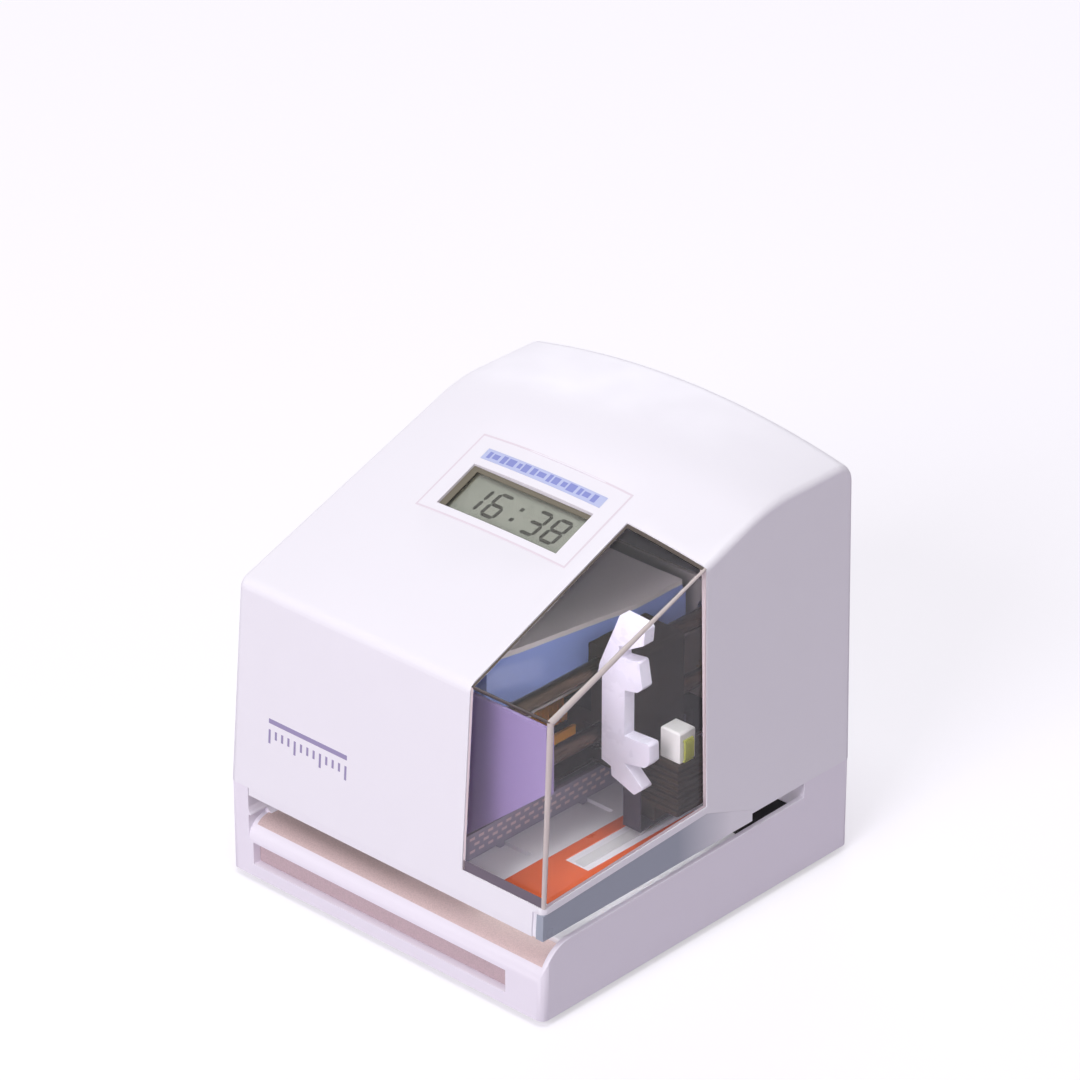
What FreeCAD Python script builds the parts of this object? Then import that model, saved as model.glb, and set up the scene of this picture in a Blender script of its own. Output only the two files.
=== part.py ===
import FreeCAD, Part
import math
import os
import re
import Sketcher

# Desk time and date stamp. +Z is up, the front with the paper throat faces -Y,
# and the origin is the middle of the footprint on the table. Millimetres.

SIZES = {
    # whole machine
    "half_width": 75,
    "half_depth": 80,
    "foot_height": 2.5,
    "run_gap": 0.3,
    "fit_gap": 0.05,
    "overrun": 2,
    "hair": 0.1,
    # base
    "base_wall": 3,
    "base_height": 22.5,
    "throat_high": 13,
    "left_block": 9,
    "back_block": 25.2,
    "groove_lip": 5,
    "groove_ridge": 8.7,
    "groove_left_margin": 11,
    "groove_right_margin": 17.4,
    "groove_depth": 3.5,
    "corner_round": 3,
    "throat_round": 5,
    "front_round": 8,
    "cheek_sheet": 2,
    "cheek_rise": 5.3,
    "cheek_more": 2,
    "cheek_round": 14,
    "post_margin": 12,
    "post_radius": 4.5,
    "bottom_sheet": 1.5,
    "foot_radius": 7,
    "foot_margin": 19,
    "foot_margin_y": 22,
    "screw_radius": 1.4,
    "screw_head_radius": 2.8,
    "screw_head_height": 1.3,
    "screw_reach": 9,
    # deck in the throat, with the coloured guide mark and the platen
    "deck_sheet": 2,
    "deck_edge": 0.8,
    "deck_lead": 6,
    "print_margin": 34.5,
    "print_start": 54,
    "print_long": 40,
    "platen_width": 4.6,
    "platen_proud": 0.3,
    "mark_sheet": 0.25,
    "mark_bar": 5.2,
    "mark_half": 10.6,
    "mark_past": 14,
    "mark_block": 25,
    "mark_lead": 26,
    # paper stop
    "stop_left": 28,
    "stop_sheet": 2,
    "stop_lead": 26,
    "stop_past": 12,
    "stop_foot": 6.5,
    "stop_foot_sheet": 1.5,
    "stop_play": 0.7,
    "stop_slot": 2.6,
    "stop_slot_high": 1.1,
    "stop_slot_pitch": 4.6,
    "stop_slot_rise": 2.5,
    "stop_slot_base": 2.6,
    "stop_tab": 8,
    "stop_lip_width": 4,
    "stop_lip_y": 20,
    "stop_in": 6,
    "stop_out": 12,
    # steel chassis
    "sheet": 1.5,
    "floor_margin": 6,
    "floor_edge": 3.5,
    "floor_pad_lead": 2,
    "floor_pad_more": 15,
    "plate_front_space": 20,
    "plate_back_space": 28,
    "plate_left_space": 41,
    "plate_right_space": 16,
    "plate_high": 63.5,
    "plate_open": 16.5,
    "plate_cut_left": 20.5,
    "plate_cut_low": 5.5,
    "plate_cut_high": 38,
    "plate_foot": 6,
    "tray_rise": 42.5,
    "chassis_screw_radius": 1.5,
    "chassis_screw_head": 2.7,
    "chassis_screw_high": 1.6,
    # guide shafts and carriage
    "shaft_left": 9.5,
    "shaft_rise": 28.5,
    "shaft_apart": 24,
    "shaft_radius": 3,
    "shaft_end": 3,
    "socket_wall": 2,
    "socket_long": 5,
    "clip_radius": 5,
    "clip_sheet": 0.9,
    "block_side": 5,
    "block_wide": 18,
    "block_lead": 18,
    "block_long": 28,
    "block_drop": 6,
    "block_over": 8,
    "arm_lead": 8,
    "arm_long": 12,
    "arm_sheet": 5,
    # white guide on the front of the carriage
    "guide_set": 5,
    "guide_wide": 10.5,
    "guide_drop": 3,
    "guide_rise": 19,
    "guide_thick": 5,
    # print head
    "head_set": 4,
    "head_wide": 24.5,
    "head_lead": 6,
    "head_high": 20,
    "fin_count": 7,
    "fin_gap": 1.1,
    "fin_depth": 4,
    "nose_width": 9,
    "nose_depth": 10,
    "nose_gap": 3.2,
    "needle_radius": 1.6,
    "plug_margin": 10,
    "plug_width": 9,
    "plug_depth": 8,
    "plug_height": 12,
    "lead_width": 3,
    "lead_thick": 1.2,
    # ribbon under the nose
    "ribbon_width": 8,
    "ribbon_thick": 0.4,
    "ribbon_drop": 1.2,
    # belt drive
    "belt_left": 27,
    "belt_rise": 12,
    "belt_width": 7,
    "belt_thick": 1.2,
    "pulley_radius": 6,
    "flange_radius": 7.6,
    "flange_sheet": 0.8,
    "pulley_margin_back": 19,
    "pulley_margin_front": 14,
    "pulley_bore": 1.5,
    "pulley_teeth": 16,
    "tooth_depth": 0.6,
    "motor_radius": 12.5,
    "motor_ear": 18.5,
    "motor_height": 10.5,
    "motor_boss": 4,
    "idler_post": 3,
    # ribbon cassette
    "cassette_inset": 2,
    "cassette_gap": 1,
    "cassette_taper": 11,
    "cassette_space_front": 18,
    "cassette_space_back": 6,
    "cassette_bend_back": 24,
    "cassette_height": 18,
    "cassette_wall": 1.6,
    "lid_sheet": 2,
    "knob_in": 20,
    "knob_back": 28,
    "knob_radius": 9,
    "knob_height": 6,
    "knob_stem": 3,
    "spool_radius": 7,
    "knob_notch": 1.2,
    "knob_notches": 18,
    "grip_share": 0.7,
    # electronics on the floor
    "board_margin": 9,
    "board_wide": 30,
    "board_margin_front": 10,
    "board_long": 80,
    "board_sheet": 1.6,
    "standoff_height": 6,
    "standoff_radius": 2.6,
    "standoff_inset": 4.5,
    "chip_long": 34,
    "chip_wide": 12,
    "chip_high": 4,
    "capacitor_radius": 5.5,
    "capacitor_height": 22,
    "buzzer_radius": 6,
    "buzzer_height": 8,
    "battery_radius": 6.5,
    "battery_length": 26,
    "part_gap": 2,
    "key_size": 7,
    "key_base_high": 4,
    "key_stroke": 0.6,
    "key_cap_radius": 3.2,
    "key_cap_high": 5,
    "key_pitch": 12,
    "key_in": 10,
    "key_in_y": 10,
    "core_long": 30,
    "core_wide": 36,
    "core_high": 34,
    "core_margin": 24,
    "coil_over": 5,
    "coil_margin": 7,
    "coil_round": 3,
    # power inlet in the back wall
    "inlet_margin": 30,
    "inlet_radius": 4.6,
    "inlet_bore": 3.2,
    "inlet_pin": 1,
    "inlet_flange": 6.4,
    "inlet_flange_sheet": 1.2,
    "inlet_length": 13,
    # paper trigger
    "switch_right": 6.5,
    "switch_space": 6,
    "switch_length": 7,
    "switch_half": 4.2,
    "switch_height": 10,
    "lever_width": 5,
    "lever_arm": 2.2,
    "lever_hub": 3,
    "lever_pin": 1.2,
    "lever_reach": 1.4,
    # lift-off cover
    "hood_wall": 2.6,
    "lean": 5.5,
    "front_high": 78.5,
    "roof_long": 45,
    "slope_rise": 38.5,
    "crown": 8,
    "draft_share": 0.02,
    "crease_share": 0.2275,
    "brow_round": 5,
    "back_round": 8,
    "rim_round": 2.6,
    "window_wide": 38,
    "window_sill": 9,
    "window_sill_back": 13,
    "window_long": 83,
    "pane": 2.2,
    "pane_set": 0.2,
    "skirt_drop": 3,
    "rail_sheet": 0.8,
    "rail_long": 107,
    "rail_end": 1.5,
    # display
    "display_x": -4,
    "display_half": 28,
    "display_drop": 37,
    "display_long": 20,
    "bezel_side": 7,
    "bezel_near": 3.5,
    "bezel_far": 13,
    "bezel_sheet": 1,
    "lens_set": 1.9,
    "lens_sheet": 1.2,
    "crown_share": 0.94,
    "lcd_drop": 4.2,
    "lcd_thick": 3,
    "lcd_margin": 3,
    "lcd_board_sheet": 1.6,
    "lcd_board_margin": 8,
    "stripe_near": 3,
    "stripe_long": 5,
    "stripe_sheet": 0.3,
    "boss_radius": 2.8,
    # lock in the back of the cover
    "lock_x": 0,
    "lock_rise": 24,
    "lock_radius": 8,
    "lock_rim": 11,
    "lock_rim_sheet": 1.6,
    "lock_length": 12,
    "nut_across": 20,
    "nut_thick": 2.4,
    "nut_flat_share": 0.44,
    "plug_radius": 5,
    "key_slot": 1.2,
    "key_slot_long": 6.4,
    "cam_sheet": 1.8,
    "cam_long": 17,
    "cam_half": 4,
    "catch_half": 7,
    "catch_drop": 8,
}

DERIVED = {
    "throat_depth": "2 * half_depth - back_block",
    "throat_left": "half_width - left_block",
    "groove_left": "half_width - groove_left_margin",
    "groove_right": "half_width - groove_right_margin",
    "rim_height": "foot_height + base_height",
    "groove_high": "rim_height - groove_ridge",
    "seat_height": "rim_height + throat_high",
    "skirt_low": "seat_height - skirt_drop",
    "post_x": "half_width - post_margin",
    "post_y": "half_depth - post_margin",
    "foot_x": "half_width - foot_margin",
    "foot_y": "half_depth - foot_margin_y",
    "print_x": "half_width - print_margin",
    "print_front": "half_depth - print_start",
    "print_back": "print_long - print_front",
    "mark_back": "print_back + mark_past",
    "mark_front": "print_front + mark_lead",
    "stop_x": "print_x - stop_left",
    "stop_front": "print_front + stop_lead",
    "stop_back": "print_back + stop_past",
    "stop_top": "seat_height - stop_play",
    "floor_front": "half_depth - floor_margin",
    "floor_back": "half_depth - floor_margin",
    "floor_right": "stop_x - floor_edge",
    "floor_pad_front": "print_back + floor_pad_lead",
    "floor_pad_right": "floor_right + floor_pad_more",
    "plate_front_y": "half_depth - plate_front_space",
    "plate_back_y": "half_depth - plate_back_space",
    "plate_left": "half_width - plate_left_space",
    "plate_right": "half_width - plate_right_space",
    "shaft_x": "print_x - shaft_left",
    "block_left": "shaft_x - block_side",
    "block_right": "block_left + block_wide",
    "block_front": "block_lead - print_back",
    "block_back": "block_long - block_front",
    "arm_front": "arm_lead - block_front",
    "arm_back": "arm_front + arm_long",
    "guide_left": "print_x - guide_set",
    "guide_right": "guide_left + guide_wide",
    "head_left": "print_x - head_set",
    "head_right": "head_left + head_wide",
    "head_front": "head_lead - block_front",
    "head_back": "block_back",
    "plug_left": "head_right - plug_margin",
    "belt_x": "shaft_x - belt_left",
    "pulley_back_y": "plate_back_y - pulley_margin_back",
    "pulley_front_y": "plate_front_y - pulley_margin_front",
    "cassette_left": "plate_left - cassette_inset",
    "cassette_right": "block_left - cassette_gap",
    "cassette_front": "plate_front_y - cassette_space_front",
    "cassette_back": "plate_back_y - cassette_space_back",
    "cassette_bend": "cassette_back - cassette_bend_back",
    "knob_x": "cassette_left - knob_in",
    "knob_y": "cassette_back - knob_back",
    "board_left": "half_width - board_margin",
    "board_right": "board_left - board_wide",
    "board_front": "half_depth - board_margin_front",
    "board_back": "board_long - board_front",
    "key_x": "board_left - key_in",
    "key_y": "board_front - key_in_y",
    "core_left": "board_left",
    "core_back": "half_depth - core_margin",
    "inlet_x": "half_width - inlet_margin",
    "switch_x": "stop_x + switch_right",
    "switch_front": "plate_back_y - switch_space",
    "brow_height": "seat_height + front_high",
    "slope_run": "2 * half_depth - lean - roof_long",
    "roof_height": "brow_height + slope_rise",
    "slope_long": "sqrt(slope_run ^ 2 + slope_rise ^ 2)",
    "window_left": "half_width - window_wide",
    "window_low": "seat_height + window_sill",
    "window_back_low": "seat_height + window_sill_back",
    "window_back": "window_long - half_depth",
    "rail_back": "rail_long - half_depth",
    "rail_back_high": "seat_height + rail_end",
    "display_near": "slope_long - display_drop - display_long",
    "lock_z": "seat_height + lock_rise",
    "base_bottom": "foot_height",
    "groove_low": "base_bottom + groove_lip",
    "throat_end": "throat_depth - half_depth",
    "cavity_top": "rim_height - base_wall",
    "plate_bottom": "base_bottom + bottom_sheet",
    "deck_top": "rim_height + deck_sheet",
    "stop_slot_low": "deck_top + stop_slot_base",
    "floor_top": "seat_height + sheet",
    "plate_top": "floor_top + plate_high",
    "plate_skirt": "floor_top + plate_open",
    "plate_cut_x": "print_x - plate_cut_left",
    "tray_height": "floor_top + tray_rise",
    "shaft_low": "floor_top + shaft_rise",
    "shaft_high": "shaft_low + shaft_apart",
    "block_low": "shaft_low - block_drop",
    "block_high": "shaft_high + block_over",
    "guide_low": "block_low - guide_drop",
    "guide_high": "block_high + guide_rise",
    "head_low": "block_low - head_high",
    "belt_low": "floor_top + belt_rise",
    "tray_top": "tray_height + sheet",
    "lid_low": "tray_top + cassette_height",
    "lid_top": "lid_low + lid_sheet",
    "nose_tip": "deck_top + nose_gap",
    "board_low": "floor_top + standoff_height",
    "board_top": "board_low + board_sheet",
    "stop_low": "deck_top + run_gap",
    "guide_front": "-block_front - guide_thick",
    "inlet_z": "(plate_bottom + cavity_top) / 2",
    "lever_z": "floor_top + switch_height / 2",
    "shaft_front": "sheet + fit_gap - plate_front_y",
    "shaft_long": "plate_back_y + sheet + shaft_end - shaft_front",
    "inner_back": "half_depth - hood_wall",
}

doc = FreeCAD.newDocument("TimeStamp")
sheet = doc.addObject("Spreadsheet::Sheet", "Sizes")
pieces = []
WORDS = re.compile(r"\b[a-z]\w*\b")


def fill_sheet():
    """Put every driving size, and what follows from it, into the sheet."""
    row = 1
    for alias, value in SIZES.items():
        sheet.set("A%d" % row, alias.replace("_", " "))
        sheet.set("B%d" % row, str(value))
        sheet.setAlias("B%d" % row, alias)
        row += 1
    for alias, formula in DERIVED.items():
        sheet.set("A%d" % row, alias.replace("_", " "))
        sheet.set("B%d" % row, "=" + formula)
        sheet.setAlias("B%d" % row, alias)
        row += 1
    doc.recompute()


def linked(text):
    """An expression in which each size name points at the sheet."""
    def swap(match):
        word = match.group(0)
        return "Sizes." + word if word in SIZES or word in DERIVED else word
    return WORDS.sub(swap, str(text))


def bind(thing, **ties):
    for key, text in ties.items():
        thing.setExpression(key.replace("__", "."), linked(text))
    return thing


def move_to(thing, x="0", y="0", z="0"):
    return bind(thing, Placement__Base__x=x, Placement__Base__y=y, Placement__Base__z=z)


def block(name, x, y, z):
    """A box between two expressions along each axis."""
    box = doc.addObject("Part::Box", name)
    bind(box, Length="(%s) - (%s)" % (x[1], x[0]))
    bind(box, Width="(%s) - (%s)" % (y[1], y[0]))
    bind(box, Height="(%s) - (%s)" % (z[1], z[0]))
    return move_to(box, x[0], y[0], z[0])


TURNS = {
    "X": FreeCAD.Rotation(FreeCAD.Vector(0, 1, 0), 90),
    "Y": FreeCAD.Rotation(FreeCAD.Vector(1, 0, 0), -90),
    "Z": FreeCAD.Rotation(),
}


def rod(name, axis, at, radius, length):
    """A cylinder that starts at a point and runs along +X, +Y or +Z."""
    bar = doc.addObject("Part::Cylinder", name)
    bar.Placement = FreeCAD.Placement(FreeCAD.Vector(), TURNS[axis])
    bind(bar, Radius=radius, Height=length)
    return move_to(bar, *at)


def cone(name, axis, at, radius, tip, length):
    bar = doc.addObject("Part::Cone", name)
    bar.Placement = FreeCAD.Placement(FreeCAD.Vector(), TURNS[axis])
    bind(bar, Radius1=radius, Radius2=tip, Height=length)
    return move_to(bar, *at)


def join(name, *parts):
    whole = doc.addObject("Part::MultiFuse", name)
    whole.Shapes = list(parts)
    whole.Refine = True
    return whole


def cut(name, base, *tools):
    tool = tools[0] if len(tools) == 1 else join(name + "_tools", *tools)
    rest = doc.addObject("Part::Cut", name)
    rest.Base = base
    rest.Tool = tool
    return rest


def overlap(name, first, second):
    shared = doc.addObject("Part::Common", name)
    shared.Base = first
    shared.Tool = second
    return shared


def several(name, *parts):
    group = doc.addObject("Part::Compound", name)
    group.Links = list(parts)
    return group


def soften(name, base, radius, chooser):
    """Round the edges whose middle the chooser accepts."""
    doc.recompute()
    size = getattr(sheet, radius)
    picks = [n for n, edge in enumerate(base.Shape.Edges, 1) if chooser(edge.CenterOfMass, edge)]
    fillet = doc.addObject("Part::Fillet", name)
    fillet.Base = base
    fillet.Edges = [(n, size, size) for n in picks]
    return fillet


def runs(edge, axis):
    """Whether an edge is straight along one axis."""
    way = edge.tangentAt(edge.FirstParameter)
    return len(edge.Vertexes) == 2 and abs(getattr(way, axis)) > 1 - s.fit_gap


def level(edge):
    """Whether an edge lies in one height."""
    return edge.BoundBox.ZLength < s.hair


def solid_from(name, shape):
    made = doc.addObject("Part::Feature", name)
    made.Shape = shape
    return made


# plane role: sign of the pad direction along the third axis
PLANES = {"XY_Plane": 1, "XZ_Plane": -1, "YZ_Plane": 1}


def sketch_on(body, name, plane, outline, offset):
    """A closed outline whose corners are tied to the sheet."""
    sketch = body.newObject("Sketcher::SketchObject", name)
    sketch.AttachmentSupport = ([o for o in body.Origin.OriginFeatures if o.Role == plane][0], [""])
    sketch.MapMode = "FlatFace"
    bind(sketch, AttachmentOffset__Base__z=offset)
    rough = [(number(x), number(y)) for x, y in outline]
    count = len(rough)
    for n in range(count):
        start = FreeCAD.Vector(rough[n][0], rough[n][1], 0)
        end = FreeCAD.Vector(rough[(n + 1) % count][0], rough[(n + 1) % count][1], 0)
        sketch.addGeometry(Part.LineSegment(start, end))
    for n in range(count):
        sketch.addConstraint(Sketcher.Constraint("Coincident", n, 2, (n + 1) % count, 1))
    for n, (x, y) in enumerate(outline):
        for kind, text, value in (("DistanceX", x, rough[n][0]), ("DistanceY", y, rough[n][1])):
            tie = sketch.addConstraint(Sketcher.Constraint(kind, -1, 1, n, 1, value))
            sketch.setExpression("Constraints[%d]" % tie, linked(text))
    return sketch


def pad(name, plane, outline, start, end):
    """A body: one outline padded from start to end along the plane's normal."""
    body = doc.addObject("PartDesign::Body", name)
    offset = start if PLANES[plane] > 0 else "-(%s)" % end
    sketch = sketch_on(body, name + "_sketch", plane, outline, offset)
    feature = body.newObject("PartDesign::Pad", name + "_pad")
    feature.Profile = sketch
    bind(feature, Length="(%s) - (%s)" % (end, start))
    return body


def number(text):
    """The value that an expression has at the present sizes."""
    probe.setExpression("Radius", None)
    probe.Placement = FreeCAD.Placement()
    bind(probe, Placement__Base__x=text)
    probe.recompute()
    return probe.Placement.Base.x


def piece(thing, label):
    thing.Label = label
    pieces.append(thing)
    return thing


fill_sheet()
s = sheet
probe = doc.addObject("Part::Cylinder", "Probe")


# Base: hollow moulding with the throat cut into its front right corner

def make_base():
    outer = block("BaseBlock", ("-half_width", "half_width"), ("-half_depth", "half_depth"),
                  ("base_bottom", "seat_height"))
    outer = soften("BaseCorners", outer, "corner_round",
                   lambda c, e: runs(e, "z"))
    throat = block("BaseThroat", ("-throat_left", "half_width + overrun"),
                   ("-half_depth - overrun", "throat_end"),
                   ("rim_height", "seat_height + overrun + throat_round"))
    throat = soften("BaseThroatEnd", throat, "throat_round",
                    lambda c, e: abs(c.x + s.throat_left) < s.hair and abs(c.z - s.rim_height) < s.hair)
    cavity = block("BaseCavity", ("base_wall - half_width", "half_width - base_wall"),
                   ("groove_depth + base_wall - half_depth", "half_depth - base_wall"),
                   ("base_bottom - overrun", "cavity_top"))
    back = block("BaseBackCavity", ("base_wall - half_width", "half_width - base_wall"),
                 ("throat_end + base_wall", "half_depth - base_wall"),
                 ("base_bottom - overrun", "seat_height - base_wall"))
    groove = block("BaseGroove", ("-groove_left", "groove_right"),
                   ("-half_depth - overrun", "groove_depth - half_depth"),
                   ("groove_low", "groove_high"))
    inlet = rod("BaseInlet", "Y", ("-inlet_x", "half_depth - base_wall - overrun", "inlet_z"),
                "inlet_radius + run_gap", "base_wall + 2 * overrun")
    roll = cut("BaseRollOff", block("BaseRollBlock", ("-throat_left", "half_width + overrun"),
                                    ("-half_depth - overrun", "front_round - half_depth"),
                                    ("rim_height - front_round", "rim_height + overrun")),
               rod("BaseRollRound", "X", ("-throat_left - overrun", "front_round - half_depth",
                                          "rim_height - front_round"),
                   "front_round", "throat_left + half_width + 3 * overrun"))
    shell = cut("BaseShell", outer, throat, cavity, back, groove, inlet, roll)
    side = pad("CheekPad", "YZ_Plane",
               [("-half_depth", "groove_low"), ("throat_end + overrun", "groove_low"),
                ("throat_end + overrun", "rim_height + cheek_rise + cheek_more"),
                ("-half_depth", "rim_height + cheek_rise")],
               "half_width - cheek_sheet", "half_width")
    side = soften("CheekRound", side, "cheek_round",
                  lambda c, e: c.y < s.hair - s.half_depth and c.z > s.rim_height)
    shell = join("BaseWithCheek", shell, overlap("Cheek", side, outer))
    posts = []
    for n, (x, y) in enumerate(corners("post")):
        roof = "cavity_top" if y.startswith("-") else "seat_height - base_wall"
        posts.append(rod("BasePost%d" % n, "Z", (x, y, "plate_bottom"), "post_radius",
                         roof + " - plate_bottom + base_wall / 2"))
    shell = join("BaseWithPosts", shell, *posts)
    bores = [rod("BaseBore%d" % n, "Z", (x, y, "plate_bottom - overrun"), "screw_radius + fit_gap",
                 "screw_reach + overrun") for n, (x, y) in enumerate(corners("post"))]
    piece(cut("BaseHousing", shell, *bores), "base_housing")


def corners(kind):
    return [("%s%s_x" % (a, kind), "%s%s_y" % (b, kind)) for a in ("-", "") for b in ("-", "")]


def make_bottom():
    plate = block("BottomSheet",
                  ("base_wall + run_gap - half_width", "half_width - base_wall - run_gap"),
                  ("groove_depth + base_wall + run_gap - half_depth", "half_depth - base_wall - run_gap"),
                  ("base_bottom", "plate_bottom"))
    holes = [rod("BottomHole%d" % n, "Z", (x, y, "base_bottom - overrun"), "screw_radius + run_gap",
                 "bottom_sheet + 2 * overrun") for n, (x, y) in enumerate(corners("post"))]
    piece(cut("BottomPlate", plate, *holes), "bottom_plate")
    screws = []
    for n, (x, y) in enumerate(corners("post")):
        shank = rod("BottomShank%d" % n, "Z", (x, y, "base_bottom"), "screw_radius",
                    "bottom_sheet + screw_reach - overrun")
        head = cone("BottomHead%d" % n, "Z", (x, y, "base_bottom - screw_head_height"),
                    "screw_head_radius - screw_head_height / 2", "screw_head_radius", "screw_head_height")
        screws.append(join("BottomScrew%d" % n, shank, head))
    piece(several("BottomScrews", *screws), "bottom_screws")
    feet = [cone("Foot%d" % n, "Z", (x, y, "0"), "foot_radius - foot_height / 3", "foot_radius",
                 "foot_height") for n, (x, y) in enumerate(corners("foot"))]
    piece(several("RubberFeet", *feet), "rubber_feet")


# Deck: smooth plate that the paper lies on, with the print position marked

def make_deck():
    plate = block("DeckBlock", ("throat_round - throat_left", "half_width - cheek_sheet - run_gap"),
                  ("front_round + deck_lead - half_depth", "throat_end - run_gap"),
                  ("rim_height", "deck_top"))
    plate = soften("DeckEdge", plate, "deck_edge",
                   lambda c, e: abs(c.z - s.deck_top) < s.hair and runs(e, "x") and c.y < 0)
    pocket = block("DeckPocket", ("print_x - platen_width / 2 - fit_gap",
                                  "print_x + platen_width / 2 + fit_gap"),
                   ("-print_front - fit_gap", "print_back + fit_gap"),
                   ("rim_height + deck_sheet / 4", "deck_top + overrun"))
    slots = [block("DeckSlot%d" % n,
                   ("stop_x - stop_foot - stop_in - run_gap", "stop_x + stop_out + run_gap"),
                   ("%s - stop_lip_width / 2 - run_gap" % y, "%s + stop_lip_width / 2 + run_gap" % y),
                   ("rim_height + deck_sheet / 4", "deck_top + overrun"))
             for n, y in enumerate(stop_lips())]
    piece(cut("DeckPlate", plate, pocket, *slots), "deck_plate")
    platen = block("PlatenBar", ("print_x - platen_width / 2", "print_x + platen_width / 2"),
                   ("-print_front", "print_back"),
                   ("rim_height + deck_sheet / 4", "deck_top + platen_proud"))
    piece(platen, "platen")


def stop_lips():
    mid = "(stop_back - stop_front) / 2"
    return ["(%s - stop_lip_y)" % mid, "(%s + stop_lip_y)" % mid]


def make_mark():
    """U-shaped guide mark: two bars beside the print line, joined at the front."""
    left = "print_x - mark_half"
    right = "print_x + mark_half"
    outline = [(left, "-mark_front"), (right, "-mark_front"), (right, "mark_back"),
               (right + " - mark_bar", "mark_back"), (right + " - mark_bar", "mark_block - mark_front"),
               (left + " + mark_bar", "mark_block - mark_front"),
               (left + " + mark_bar", "mark_back - mark_bar"),
               (left, "mark_back - mark_bar")]
    piece(pad("GuideMark", "XY_Plane", outline, "deck_top", "deck_top + mark_sheet"), "print_guide_mark")


# Paper stop: slotted fence that slides across the deck on two lips

def make_stop():
    outline = [("stop_x - stop_foot", "stop_low"), ("stop_x", "stop_low"), ("stop_x", "stop_top"),
               ("stop_x - stop_sheet", "stop_top"), ("stop_x - stop_sheet", "stop_low + stop_foot_sheet"),
               ("stop_x - stop_foot", "stop_low + stop_foot_sheet")]
    fence = pad("StopFence", "XZ_Plane", outline, "-stop_front", "stop_back")
    doc.recompute()
    count = int((s.stop_front + s.stop_back - s.stop_slot_pitch) / s.stop_slot_pitch)
    slots = []
    for row in range(3):
        for n in range(count):
            y = "-stop_front + stop_slot_pitch * (1 + %d / 2 + %d)" % (row % 2, n)
            slots.append(block("StopSlot%d_%d" % (row, n),
                               ("stop_x - stop_sheet - overrun", "stop_x + overrun"),
                               (y + " - stop_slot / 2", y + " + stop_slot / 2"),
                               ("stop_slot_low + stop_slot_rise * %d" % row,
                                "stop_slot_low + stop_slot_rise * %d + stop_slot_high" % row)))
    holed = doc.addObject("Part::Cut", "StopHoled")
    holed.Base = fence
    holed.Tool = several("StopSlots", *slots)
    tab = block("StopTab", ("stop_x - stop_foot", "stop_x"), ("-stop_front - stop_tab", "-stop_front"),
                ("stop_low", "stop_top - stop_foot_sheet"))
    tab = soften("StopTabRound", tab, "stop_sheet", lambda c, e: runs(e, "z")
                 and c.y < -s.stop_front - s.hair)
    lips = [block("StopLip%d" % n, ("stop_x - stop_foot", "stop_x"),
                  ("%s - stop_lip_width / 2" % y, "%s + stop_lip_width / 2" % y),
                  ("rim_height + deck_sheet / 4 + fit_gap", "stop_low + stop_foot_sheet / 2"))
            for n, y in enumerate(stop_lips())]
    piece(join("PaperStop", holed, tab, *lips), "paper_stop")


# Chassis: floor over the throat, two side plates and the tray between them

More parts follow.
